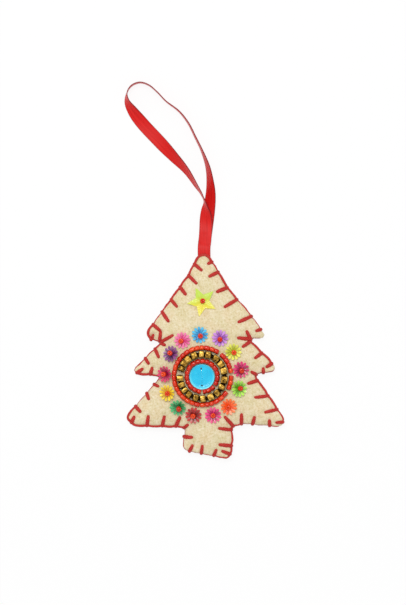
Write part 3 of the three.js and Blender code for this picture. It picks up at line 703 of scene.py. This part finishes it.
def fibreFilling():
    lump = solidCopy("stuffing", "fibre_filling")
    applyModifier(lump, "REMESH", mode="VOXEL", voxel_size=fibre["voxel"] * mm)
    places = pointsOf(lump) / mm
    for k, place in enumerate(places):
        tuft = fibre["tuft"] * abs(noise.noise(Vector(place) / fibre["tuftSize"]))
        places[k, 2] += tuft if place[2] < felt["seam"] else -tuft
    movePoints(lump, places * mm)
    applyModifier(lump, "SMOOTH", factor=0.5, iterations=fibre["smoothing"])
    smoothShade(lump)
    return lump


filling = fibreFilling()
settle(filling, polyesterFibre(), "stuffing", "tree")


def surfaceOf(piece):
    places = [Vector(place) for place in pointsOf(piece) / mm]
    return BVHTree.FromPolygons(places, [face.vertices[:] for face in piece.data.polygons])


frontSkin = surfaceOf(feltFront)
backSkin = surfaceOf(feltBack)
frontSolid = surfaceOf(frame["nodes"]["front_felt"])


# The height of a felt where a ray comes in from above, or from below for the back
def heightAt(place, skin=frontSkin, ahead=-up):
    hit = skin.ray_cast(Vector((place.x, place.y, 0)) - 40 * ahead, ahead)[0]
    return hit.z if hit else felt["seam"]


# The cut edge of the front solid at one height, anticlockwise from its right tip
def cutEdge(z):
    solid = frame["nodes"]["front_felt"]
    places = pointsOf(solid) / mm
    ends = []
    for face in solid.data.polygons:
        for a, b in face.edge_keys:
            low, high = places[a], places[b]
            if (low[2] > z) != (high[2] > z):
                ends.append((low + (z - low[2]) / (high[2] - low[2]) * (high - low))[:2])
    ends = np.array(ends)
    free = np.ones(len(ends), bool)
    at = int(np.argmax(ends[:, 0]))
    edge = []
    while True:
        other = at ^ 1  # the two ends of a cut are stored side by side
        free[[at, other]] = False
        edge += [ends[at], ends[other]]
        away = np.where(free, np.hypot(*(ends - ends[other]).T), np.inf)
        at = int(np.argmin(away))
        if away[at] > 0.3:
            break
    edge = np.array(edge + edge[:1])
    area = np.sum(edge[:-1, 0] * edge[1:, 1] - edge[1:, 0] * edge[:-1, 1])
    return edge if area > 0 else edge[::-1]


# The same edge on the finished felt, with how far along it each point lies
def feltRim(z):
    edge = cutEdge(z)
    lengths = lengthsAlong(edge)
    places = np.linspace(0, lengths[-1], round(lengths[-1] / felt["rimStep"]) + 1)
    edge = atLengths(edge, lengths, places)
    rim = []
    for k, (x, y) in enumerate(edge):
        run = edge[(k + 1) % (len(edge) - 1)] - edge[k - 1 if k else -2]
        inward = Vector((-run[1], run[0], 0)).normalized()
        hits = []
        for level in felt["rimLevels"]:
            start = Vector((x, y, z + level)) - inward * felt["rimOutside"]
            hit, normal, _, far = frontSkin.ray_cast(start, inward, 3)
            if hit and normal.dot(inward) < 0:
                hits.append(far - felt["rimOutside"])
        inset = min(hits) if hits else 0
        rim.append((x + inward.x * inset, y + inward.y * inset))
    rim = np.array(rim)
    for _ in range(3):
        rim[1:-1] = (rim[:-2] + 2 * rim[1:-1] + rim[2:]) / 4
    along = lengthsAlong(rim)
    print("rim", len(rim), "points,", round(float(along[-1])), "mm round")
    return rim, along


rimPoints, rimAlong = feltRim(floss["rimZ"])


def rimNearest(x, y):
    return rimAlong[int(np.argmin(np.hypot(rimPoints[:, 0] - x, rimPoints[:, 1] - y)))]


def rimAt(along):
    return Vector((*atLengths(rimPoints, rimAlong, [along % rimAlong[-1]])[0], 0))


def rimInward(along):
    run = rimAt(along + 0.8) - rimAt(along - 0.8)
    return Vector((-run.y, run.x, 0)).normalized()


# Threads: a ring of strands is screwed along its length, then laid on a path
def threadAlong(path, thread, radii, side=None, flat=1.0):
    stations = evenPath(path, thread["step"])
    last = len(stations) - 1
    length = sum((b - a).length for a, b in zip(stations, stations[1:]))
    piece = added(bpy.ops.mesh.primitive_circle_add, vertices=thread["around"], radius=1)
    ring = pointsOf(piece)
    crest = np.abs(np.cos(np.arctan2(ring[:, 1], ring[:, 0]) * thread["strands"] / 2))
    movePoints(piece, ring * (1 - thread["ridge"] * (1 - crest))[:, None])
    # The crest of each strand is kept, so that the cotton can paint shade in the grooves between strands
    paint(piece, "strand", crest)
    turns = 2 * math.pi * length / thread["turn"]
    applyModifier(
        piece, "SCREW", axis="Z", angle=turns, screw_offset=last, steps=last, render_steps=last,
        use_smooth_shade=True)
    openMesh(piece)
    bpy.ops.mesh.fill_holes(sides=0)
    closeMesh()
    frames = []
    for k, here in enumerate(stations):
        run = (stations[min(k + 1, last)] - stations[max(k - 1, 0)]).normalized()
        across = (side or run.cross(up)).copy()
        across = (across - run * across.dot(run)).normalized()
        size = float(np.interp(k / last, *radii))
        frames.append((here, across * size, run.cross(across) * size * flat))
    shaped = []
    for x, y, z in pointsOf(piece):
        here, across, over = frames[min(last, max(0, round(z)))]
        shaped.append((here + across * x + over * y) * mm)
    places = pointsOf(piece)
    movePoints(piece, shaped)
    faceOutwards(piece)
    return piece, places[:, 2] / last if len(piece.data.vertices) == len(places) else None


def strandedCotton():
    # Mercerised stranded cotton, six strands with a slack twist: a low silky lustre along the strands,
    # painted shade between them, and the darkest painted shade where a stitch goes down into the felt. Its
    # hairs lie in tufts of 0.5 mm.
    return grained(
        "strandedCotton", 0.5, [(0.0, "#8E1A18"), (0.6, "#BC2A26"), (1.0, "#CE3A30")],
        {"Roughness": 0.55, "Specular IOR Level": 0.25, "Sheen Weight": 0.08, "Sheen Roughness": 0.4},
        {"Detail": 3}, (1, -0.5), "strand", ("diveShade", "#4E0F10"), (0.3, 0.08))


def clearOfSequins(place):
    return all((place - middle).xy.length > radius + floss["sequinRoom"] for middle, radius in sequinCircles)


def barPiece(bar):
    inner = Vector((*bar[2:4], 0))
    rim = rimAt(rimNearest(*bar[:2]))
    inward = (inner - rim).normalized()
    reach = (inner - rim).length
    while reach > 0 and not clearOfSequins(rim + inward * reach):
        reach -= 0.2
    if reach < floss["least"]:
        return None

    def onFront(inset, lift):
        place = rim + inward * inset
        return place + up * (heightAt(place) + lift)

    def onBack(inset, lift):
        place = rim + inward * inset
        return place + up * max(heightAt(place, backSkin, up) - lift, floss["tableRoom"])

    lift, sunk = floss["lift"], floss["sunk"]
    path = [onFront(reach, -sunk), onFront(reach - floss["knee"], floss["kneeLift"])]
    crowns = [reach * share for share in floss["crownAt"]]
    path += [onFront(inset, lift + floss["crown"]) for inset in crowns if inset < reach - floss["crownRoom"]]
    path.append(onFront(floss["shoulder"], lift))
    path += [rim - inward * out + up * z for out, z in floss["overEdge"]]
    path += [onBack(inset, lift) for inset in floss["backInsets"]]
    path.append(onBack(floss["backReach"], -sunk))
    size = floss["bar"] * dice.uniform(*floss["barUneven"])
    along, swell = zip(*floss["swell"])
    side = Vector((-inward.y, inward.x, 0))
    piece, share = threadAlong(path, floss, (along, [size * part for part in swell]), side, floss["flat"])
    # Painted shade on the thread at both ends, where it goes down into the felt
    if share is not None:
        paint(piece, "diveShade", np.clip(1 - np.minimum(share, 1 - share) / floss["diveShade"], 0, 1))
    return piece


def edgePiece(bar, following):
    first, last = rimNearest(*bar[:2]), rimNearest(*following[:2])
    length = (last - first) % rimAlong[-1]
    front = bar[4]
    out, z = (low + gain * front for low, gain in (floss["edgeOut"], floss["edgeZ"]))
    count = max(2, round(length / floss["edgeStep"]))
    wander, bob = floss["wander"], floss["bob"]
    path = []
    for k in range(count + 1):
        along = first + length * k / count
        slack = floss["slack"] * math.sin(math.pi * k / count) + dice.uniform(-wander, wander)
        path.append(rimAt(along) - rimInward(along) * (out + slack))
        path[-1].z = z + dice.uniform(-bob, bob)
    size = floss["edge"] * dice.uniform(*floss["edgeUneven"])
    piece, _ = threadAlong(path, floss, ([0, 1], [size, size]))
    return piece


def flossStitches():
    threads = [barPiece(bar) for bar in stitches]
    threads = [thread for thread in threads if thread]
    bars = len(threads)
    threads += [edgePiece(bar, following) for bar, following in zip(stitches, stitches[1:] + stitches[:1])]
    piece = joinPieces(threads, "floss_stitches")
    smoothShade(piece)
    print("stitches", bars, "bars,", len(piece.data.polygons), "faces")
    return piece


settle(flossStitches(), strandedCotton(), "blanket_stitch", "tree")

# Beads: one of each kind is modelled and copied along its strand, which is placed by angles in degrees round
# the medallion. Each brass bead has an angle and its own length.
beads = {
    "seed": 1.16, "seedLong": 2.3, "seedHole": 0.36, "stop": 1.18, "stopLong": 1.6, "stopBase": 0.5,
    "squarer": 0.62, "boreShadeBand": 0.35, "uneven": (0.82, 1.18), "touch": 0.98, "tilt": 5, "core": 0.2,
    "stopTip": 0.45, "stopSunk": 0.5, "stopThread": (0.2, 0.3, 0.34), "leanTip": 0.5, "leanRise": 0.55,
    "leanShift": 0.75,
    "brassWide": 3.3, "brassLong": 3, "brassWall": 1, "brassDent": 0.7, "brassRound": 0.95, "brassCore": 0.95,
    "brassArc": (-184, 166), "inner": 7.18, "brass": 10.4, "outer": 13.35, "gap": 0.2, "pitch": 2.4,
    "shift": {"inner": (0.05, 0.25), "brass": (0.1, 0.25), "outer": (0.25, 0.3)},
    "tints": {"inner": (0, 0.45), "outer": (0.25, 0.8), "brass": (-0.03, 0.09), "stop": (0.25, 0.75)},
    "innerArcs": [(-88, -39.5), (-35.5, 266)],
    "outerArcs": {"long": (56, 327.5), "short": (332.5, 361.5), "right": (6.5, 51)},
    "brassPlaces": [
        (92, 2.6), (74.8, 3.1), (52.4, 3.3), (33.2, 3.3), (14.5, 3.3), (-8.7, 3.6), (-28.5, 2.5),
        (-47.8, 2.8), (-67.5, 3.1), (-88.3, 2.8), (-106.9, 2.8), (-126.9, 2.5), (-142, 2.1), (-157.9, 2.5),
        (-175.2, 2.8), (159.3, 2.6), (144.1, 2.8), (130.1, 3.0), (111.4, 3.1),
    ],
}


def redSeedGlass():
    # Opaque pressed glass, fire-polished: a saturated orange red with small hard highlights, each bead a
    # little off its neighbours, with streaks of 1.5 mm, and painted shade down the hole and on its sides
    return grained(
        "redSeedGlass", 1.5, [(0.1, "#BE1A04"), (0.6, "#DE2C08"), (1.0, "#F85216")],
        {"Roughness": 0.16, "IOR": 1.45, "Specular IOR Level": 0.4},
        {"Detail": 2}, (0.3, 0), "tint", ("beadShade", "#7A0E08"))


def agedBrass():
    # Stamped brass, tumbled: worn bright on the crowns, brown patina in the dents, and painted shade that
    # darkens the flanks, the ends where the beads meet and round the holes. The dents are about 0.9 mm
    # across.
    material, add, shader = newMaterial("agedBrass")
    place = add("TexCoord", output="Object")
    tint, beadShade = (add("Attribute", output="Fac", attribute_name=name) for name in ("tint", "beadShade"))
    dents = add("TexNoise", {"Vector": place, "Scale": 1 / (0.9 * mm), "Detail": 3, "Roughness": 0.6})
    level = add("Math", {0: dents, 1: 0.6}, operation="MULTIPLY")
    level = add("Math", {0: level, 1: tint}, operation="ADD")
    dark = add("Math", {0: beadShade, 1: 0.4}, operation="MULTIPLY")
    level = add("Math", {0: level, 1: dark}, operation="SUBTRACT")
    wearAndShade = [(0.0, "#1E1204"), (0.12, "#7A5A20"), (0.28, "#D2AA52"), (0.5, "#FFE9A6")]
    metal = add("ValToRGB", {"Fac": level}, wearAndShade)
    rough = add(
        "MapRange", {"Value": level, "From Min": 0.05, "From Max": 0.5, "To Min": 0.5, "To Max": 0.22})
    relief = add("Bump", {"Height": dents, "Strength": 0.4, "Distance": 0.15 * mm})
    plug(shader, {"Base Color": metal, "Roughness": rough, "Normal": relief, "Metallic": 1})
    return material


def seedBead(radius, long, hole, flankShade=0.0):
    tube = (radius - hole) / 2
    bead = added(
        bpy.ops.mesh.primitive_torus_add, major_segments=20, minor_segments=12,
        major_radius=(hole + tube) * mm, minor_radius=tube * mm)
    places = pointsOf(bead) / mm
    spread = np.hypot(places[:, 0], places[:, 1])
    out = (spread - hole - tube) / tube
    rise = places[:, 2] / tube
    squarer = beads["squarer"]  # under 1 flattens the sides of the bead
    band = beads["boreShadeBand"] * tube
    outer = hole + tube + tube * np.sign(out) * np.abs(out) ** squarer
    places[:, :2] *= (outer / spread)[:, None]
    places[:, 2] = long / 2 * np.sign(rise) * np.abs(rise) ** squarer
    movePoints(bead, places * mm)
    # Painted shade: darker down the hole, and darker out on the sides of the bead
    dark = np.clip((hole + band - outer) / band, 0, 1)
    paint(bead, "beadShade", np.maximum(dark, flankShade * np.abs(places[:, 0] / radius) ** 3))
    smoothShade(bead)
    return bead


def brassBead():
    bead = added(bpy.ops.mesh.primitive_cube_add, size=1)
    bead.data.transform(Matrix.Diagonal((*[beads["brassWide"] * mm] * 2, beads["brassLong"] * mm, 1)))
    selectFaces(bead, lambda face: abs(face.normal.z) > 0.9)
    bpy.ops.mesh.inset(thickness=beads["brassWall"] * mm, use_individual=True)
    dent = {"value": -beads["brassDent"] * mm}
    bpy.ops.mesh.extrude_region_shrink_fatten(TRANSFORM_OT_shrink_fatten=dent)
    closeMesh()
    applyModifier(
        bead, "BEVEL", width=beads["brassRound"] * mm, segments=6, limit_method="ANGLE",
        angle_limit=math.radians(40))
    places = pointsOf(bead) / mm
    barrel = 1 - 0.1 * (places[:, 2] / (beads["brassLong"] / 2)) ** 2
    places[:, :2] *= barrel[:, None]
    movePoints(bead, places * mm)
    # Painted shade: darker at the ends where the beads meet, on the flanks and round the hole
    ends = np.clip((np.abs(places[:, 2]) / (beads["brassLong"] / 2) - 0.7) / 0.25, 0, 1)
    flankShade = (np.abs(places[:, 0]) / (beads["brassWide"] / 2)) ** 2
    near = np.clip(1.2 - np.hypot(places[:, 0], places[:, 1]), 0, 1) * (ends > 0)
    paint(bead, "beadShade", np.clip(near + 0.8 * ends + 0.42 * flankShade, 0, 1))
    smoothShade(bead, 50)
    return bead


# Where a strand's thread runs over the felt, on the solid that the trims were seated on
def strandPlace(angle, strand, radius):
    turn = math.radians(angle)
    away = Vector((math.cos(turn), math.sin(turn), 0))
    here = Vector((*medallion["middle"], 0)) + Vector((*beads["shift"][strand], 0)) + away * beads[strand]
    on = here + away * radius
    bed = heightAt(here, frontSolid)
    slope = (heightAt(on, frontSolid) - bed) / radius
    here.z = bed + (radius + beads["gap"]) * math.hypot(1, slope)
    return here, away


def onStrand(angle, strand, radius, stretch=1.0):
    place, away = strandPlace(angle, strand, radius)
    run = Vector((-away.y, away.x, 0))
    tilt = Matrix.Rotation(math.radians(dice.uniform(-beads["tilt"], beads["tilt"])), 3, up)
    axes = tilt @ Matrix((away, up, run * stretch)).transposed()
    return Matrix.Translation(place * mm) @ axes.to_4x4()


def strung(bead, matrices, name, tints):
    copies = []
    for matrix, tint in zip(matrices, tints):
        copy = copyPiece(bead, name + "_bead")
        copy.data.transform(matrix)
        paint(copy, "tint", tint)
        faceOutwards(copy)
        copies.append(copy)
    return copies


nylonThread = {"around": 8, "strands": 2, "ridge": 0, "turn": 50, "step": 0.25}
strandThread = {**nylonThread, "step": 0.8}


def strandCore(arc, strand, radius, thick, tint=0.2):
    low, high = arc
    count = max(3, round((high - low) / 8))
    path = [strandPlace(low + (high - low) * k / count, strand, radius)[0] for k in range(count + 1)]
    core, _ = threadAlong(path, strandThread, ([0, 1], [thick, thick]))
    # The core thread is painted dark: painted shade inside the holes and in the gaps between the beads
    paint(core, "beadShade", 0.9)
    paint(core, "tint", tint)
    return core


def seedArc(bead, arc, strand, name):
    low, high = arc
    room = math.radians(high - low) * beads[strand]
    lengths = [dice.uniform(*beads["uneven"]) for _ in range(max(1, round(room / beads["pitch"])))]
    scale = room / sum(lengths)
    matrices = []
    at = 0.0
    for length in lengths:
        middle = low + math.degrees((at + length / 2) * scale / beads[strand])
        stretch = length * scale * beads["touch"] / beads["seedLong"]
        matrices.append(onStrand(middle, strand, beads["seed"], stretch))
        at += length
    tints = [dice.uniform(*beads["tints"][strand]) for _ in lengths]
    return strung(bead, matrices, name, tints) + [strandCore(arc, strand, beads["seed"], beads["core"])]


def medallionBeads(glass, brass):
    seed = seedBead(beads["seed"], beads["seedLong"], beads["seedHole"], 0.6)
    inner = [part for arc in beads["innerArcs"] for part in seedArc(seed, arc, "inner", "inner")]
    settle(joinPieces(inner, "inner_beads"), glass, "inner_bead_strand", "tree")
    for name, arc in beads["outerArcs"].items():
        strand = joinPieces(seedArc(seed, arc, "outer", name), "outer_beads_" + name)
        settle(strand, glass, "outer_bead_strand_" + name, "tree")
    bpy.data.objects.remove(seed)
    cube = brassBead()
    half = beads["brassWide"] / 2
    matrices = [
        onStrand(angle, "brass", half, length / beads["brassLong"]) for angle, length in beads["brassPlaces"]]
    parts = strung(cube, matrices, "brass", [dice.uniform(*beads["tints"]["brass"]) for _ in matrices])
    # The brass core is thick and painted darker, a painted shade that fills the gaps between the brass beads
    parts.append(strandCore(beads["brassArc"], "brass", half, beads["brassCore"], -0.4))
    settle(joinPieces(parts, "brass_beads"), brass, "brass_bead_strand", "tree")
    bpy.data.objects.remove(cube)


glass = redSeedGlass()
medallionBeads(glass, agedBrass())
print("medallion strung")

# Blue disc, moulded with a raised rim and two holes, and the clear thread across it
disc = {
    "radius": 5.9, "thickness": 1.15, "rim": 1.2, "rimTop": 0.3, "dish": 0.5, "step": 1.2, "stepDeep": 0.05,
    "edge": 0.16, "holeRadius": 0.42, "holes": ((-0.35, 3.9), (0.0, -4.05)), "nylon": 0.07, "holeShade": 0.36,
    "nylonSunk": 0.1, "nylonLift": 0.16, "nylonTurn": 0.3, "lipFrom": 1.3, "lipFade": 0.9,
}


def bluePaillette():
    # Moulded acrylic with a pearl foil behind: clear bright blue, glassy, with a painted highlight along the
    # raised rim, strongest on its lower side. The clouds of the foil are about 2.5 mm across.
    return grained(
        "bluePaillette", 2.5, [(0.3, "#0CBCE8"), (0.7, "#20CBF2")],
        {"Roughness": 0.18, "Specular IOR Level": 0.4}, {"Detail": 4}, over=("lip", "#74EEFF"))


def clearNylon():
    # Drawn nylon monofilament: nearly invisible, with a thin highlight, and thickened and painted dark inside
    # the disc's holes as painted shade. It is 0.14 mm thick, with faint waves 1.2 mm long.
    material, add, shader = newMaterial("clearNylon")
    place = add("TexCoord", output="Object")
    holeShade = add("Attribute", output="Fac", attribute_name="holeShade")
    tint = add("Mix", {0: holeShade, 6: colour("#F4F8FA"), 7: colour("#0A2430")}, data_type="RGBA")
    clear = add("Math", {0: 1, 1: holeShade}, operation="SUBTRACT")
    waves = add("TexNoise", {"Vector": place, "Scale": 1 / (1.2 * mm)})
    relief = add("Bump", {"Height": waves, "Strength": 0.1, "Distance": 0.02 * mm})
    plug(shader, {
        "Base Color": tint, "Transmission Weight": clear, "Normal": relief, "Roughness": 0.08, "IOR": 1.53})
    return material


def blueDisc():
    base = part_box("centre_disc")[0].z / mm
    size = {"radius": disc["radius"] * mm, "depth": disc["thickness"] * mm}
    piece = added(bpy.ops.mesh.primitive_cylinder_add, vertices=72, **size)
    piece.name = "blue_disc"
    selectFaces(piece, lambda face: face.normal.z > 0.9)
    bpy.ops.mesh.inset(thickness=disc["rimTop"] * mm)
    bpy.ops.mesh.inset(thickness=(disc["rim"] - disc["rimTop"]) * mm, depth=-disc["dish"] * mm)
    bpy.ops.mesh.inset(thickness=disc["step"] * mm, depth=-disc["stepDeep"] * mm)
    closeMesh()
    applyModifier(
        piece, "BEVEL", width=disc["edge"] * mm, segments=3, limit_method="ANGLE",
        angle_limit=math.radians(25))
    for x, y in disc["holes"]:
        drill = added(
            bpy.ops.mesh.primitive_cylinder_add, vertices=24, radius=disc["holeRadius"] * mm, depth=4 * mm,
            location=(x * mm, y * mm, 0))
        applyModifier(piece, "BOOLEAN", operation="DIFFERENCE", object=drill, solver="EXACT")
        bpy.data.objects.remove(drill)
    places = pointsOf(piece) / mm
    spread = np.hypot(places[:, 0], places[:, 1])
    # The paler rim is a painted highlight, strongest on the lower side of the rim
    lower = np.clip(0.5 - 0.8 * places[:, 1] / disc["radius"], 0.15, 1)
    lip = np.clip((spread - disc["radius"] + disc["lipFrom"]) / disc["lipFade"], 0, 1)
    paint(piece, "lip", lip * (places[:, 2] > 0) * lower)
    places += np.array([*medallion["middle"], base + disc["thickness"] / 2])
    movePoints(piece, places * mm)
    smoothShade(piece, 35)
    return piece, base


def discNylon(base):
    top = base + disc["thickness"] - disc["dish"] - disc["stepDeep"]
    (ax, ay), (bx, by) = disc["holes"]
    low, under, over = base + disc["nylonSunk"], top - disc["nylonSunk"], top + disc["nylonLift"]
    route = [
        (ax, ay, low), (ax, ay, under), (ax * 0.9, ay - disc["nylonTurn"], over), (0, 0, over),
        (bx * 0.9, by + disc["nylonTurn"], over), (bx, by, under), (bx, by, low)]
    path = [Vector((*medallion["middle"], 0)) + Vector(place) for place in route]
    holeShade, thin = disc["holeShade"], disc["nylon"]
    thick = ([0, 0.04, 0.07, 0.93, 0.96, 1], [holeShade, holeShade, thin, thin, holeShade, holeShade])
    piece, share = threadAlong(path, nylonThread, thick, Vector((1, 0, 0)))
    # Painted shade: the thickened thread inside the holes is painted dark
    paint(piece, "holeShade", np.clip((np.abs(share - 0.5) - 0.43) / 0.02, 0, 1))
    piece.name = "disc_nylon"
    smoothShade(piece)
    return piece


discPiece, discBase = blueDisc()
settle(discPiece, bluePaillette(), "centre_disc", "tree")
settle(discNylon(discBase), clearNylon(), "disc_thread", "tree")
print("disc sewn on")


# Sequins: a ring is pulled out to a sheet, then shaped to petals or points

def sequinFilm(name, deep, light, fade="reach", gloss=0.4):
    # Punched PVC film, dyed through and hot-pressed into a cup: glossy, with painted light that makes the
    # raised petals paler, painted shade in the cuts between them and a painted shade of its own on each
    # petal. The pressing leaves streaks of 0.9 mm.
    finish = {"Specular IOR Level": gloss, "Coat Weight": gloss / 2, "Coat Roughness": 0.08, "Roughness": 0.3}
    return grained(
        name, 0.9, [(0.2, deep), (0.8, light)], finish,
        {"Detail": 2}, (0.7, -0.35), fade, relief=(0.25, 0.08))


def roundSheet(spokes, rings, hole, radius):
    sheet = added(bpy.ops.mesh.primitive_circle_add, vertices=spokes, radius=hole * mm)
    openMesh(sheet)
    for ring in range(rings):
        size = (hole + (radius - hole) * (ring + 1) / rings) / (hole + (radius - hole) * ring / rings)
        bpy.ops.mesh.extrude_edges_move()
        bpy.ops.transform.resize(value=(size, size, 1))
    bpy.ops.mesh.select_all(action="SELECT")
    bpy.ops.mesh.normals_make_consistent(inside=False)
    closeMesh()
    if sheet.data.polygons[0].normal.z < 0:
        openMesh(sheet)
        bpy.ops.mesh.flip_normals()
        closeMesh()
    return sheet


def polar(sheet, hole, radius):
    places = pointsOf(sheet) / mm
    angle = np.arctan2(places[:, 1], places[:, 0])
    share = (np.hypot(places[:, 0], places[:, 1]) - hole) / (radius - hole)
    return angle, np.clip(share, 0, 1)


def pressSheet(sheet, angle, spread, height, crease):
    places = np.stack([spread * np.cos(angle), spread * np.sin(angle), height], axis=1)
    movePoints(sheet, places * mm)
    applyModifier(sheet, "SOLIDIFY", thickness=sequin["thickness"] * mm, offset=1)
    smoothShade(sheet, crease)
    return sheet


def flowerSheet():
    hole, radius, count = sequin["hole"], sequin["radius"], sequin["petals"]
    sheet = roundSheet(count * sequin["petalSpokes"], sequin["rings"], hole, radius)
    angle, share = polar(sheet, hole, radius)
    turn = angle * count / (2 * math.pi)
    petal = np.floor(turn + 1e-6)
    cut = np.abs(2 * (turn - petal) - 1)  # 1 in the cut between two petals, 0 along a petal
    cut = np.where(cut > 0.999, 1.0, cut)
    rim = sequin["valley"] + (radius - sequin["valley"]) * np.maximum(1 - cut ** 2.2, 0) ** 0.5
    spread = hole + share * (rim - hole)
    t = (spread - hole) / (radius - hole)
    height = sequin["cup"] * t ** 1.7 - sequin["rib"] * np.clip(t * 2 - 0.4, 0, 1) * cut ** 3
    shade = np.random.default_rng(5).uniform(-sequin["shade"], sequin["shade"], count)
    # Painted light and shade: paler out along the raised petals, darker in the cuts, a shade of its own per
    # petal
    paint(sheet, "reach", 0.15 + 0.75 * t - 0.5 * cut ** 4 + shade[petal.astype(int) % count])
    return pressSheet(sheet, angle, spread, np.maximum(height, 0), 40)


def starSheet():
    hole, radius, valley = sequin["hole"], sequin["starRadius"], sequin["starValley"]
    sheet = roundSheet(5 * sequin["starSpokes"], sequin["starRings"], hole, radius)
    angle, share = polar(sheet, hole, radius)
    turn = angle * 5 / (2 * math.pi)
    off = np.abs(turn - np.round(turn)) * 2 * math.pi / 5  # 0 along a point, 36 degrees in a valley
    tip, dip = np.array([radius, 0]), valley * np.array([math.cos(math.pi / 5), math.sin(math.pi / 5)])
    edge = dip - tip
    rim = (tip[0] * dip[1] - tip[1] * dip[0]) / (np.cos(off) * edge[1] - np.sin(off) * edge[0])
    spread = hole + share * (rim - hole)
    crest = 1 - off / (math.pi / 5)
    t = spread / radius
    height = sequin["starCrease"] * crest * np.clip(3 * t, 0, 1) * (1 - 0.7 * share)
    height += sequin["starLift"] * t ** 2.5
    turned = angle + math.radians(sequin["starLean"])
    across = spread * np.sin(turned)
    paint(sheet, "fade", 0.5 + across / (2.2 * valley) + 0.12 * np.cos(angle * 5) * share)
    return pressSheet(sheet, turned, spread, height, 30)


def seated(body):
    place, axis = seatOf(body)
    return Matrix.Translation(place * mm) @ up.rotation_difference(axis).to_matrix().to_4x4()


# A red bead on top of a sequin, leaning on its thread, which goes down through the film into the felt
def stopBead(bead, body, lean, name):
    place, axis = seatOf(body)
    depth = (place.z - heightAt(place)) * axis.z + beads["stopSunk"]
    shift = Vector((*lean, 0))
    tip = min(beads["stopTip"], shift.length * beads["leanTip"])
    turn = Matrix.Identity(4)
    if shift.length > 0.05:
        turn = Matrix.Rotation(tip, 4, up.cross(shift).normalized())
    rise = beads["stopBase"] + beads["stopLong"] / 2 + beads["leanRise"] * math.sin(tip)
    middle = shift * beads["leanShift"] + up * rise
    copy = copyPiece(bead, name)
    copy.data.transform(Matrix.Translation(middle * mm) @ turn)
    paint(copy, "tint", dice.uniform(*beads["tints"]["stop"]))
    top = middle + turn.to_3x3() @ Vector((0, 0, beads["stopLong"] / 2 + 0.05))
    bottom = middle - turn.to_3x3() @ Vector((0, 0, beads["stopLong"] / 2))
    path = [Vector((0, 0, -depth)), Vector((0, 0, 0)), bottom, middle, top]
    thread, _ = threadAlong(path, nylonThread, ([0, 0.85, 1], beads["stopThread"]), Vector((1, 0, 0)))
    paint(thread, "beadShade", 0)
    paint(thread, "tint", 1)
    piece = joinPieces([copy, thread], name)
    piece.data.transform(seated(body))
    faceOutwards(piece)
    smoothShade(piece)
    return piece


def sewnSequins():
    stop = seedBead(beads["stop"], beads["stopLong"], beads["seedHole"])
    star = starSheet()
    star.name = "star_paillette"
    star.data.transform(seated("star"))
    starFilm = sequinFilm("starFilm", *sequin["starTones"], "fade", 0.15)
    settle(star, starFilm, "star_sequin", "star")
    bead = stopBead(stop, "star", sequin["starBeadLean"], "star_stop_bead")
    settle(bead, glass, "star_bead", "tree")
    flower = flowerSheet()
    for name, (lean, deep, light) in flowers.items():
        body = "flower_" + name
        film = copyPiece(flower, name + "_paillette")
        film.data.transform(seated(body) @ Matrix.Rotation(dice.uniform(0, 6.28), 4, "Z"))
        settle(film, sequinFilm(name + "Film", deep, light), "flower_sequin_" + name, body)
        bead = stopBead(stop, body, lean, name + "_stop_bead")
        settle(bead, glass, "flower_bead_" + name, "tree")
    bpy.data.objects.remove(flower)
    bpy.data.objects.remove(stop)


sewnSequins()
print("sequins sewn on")
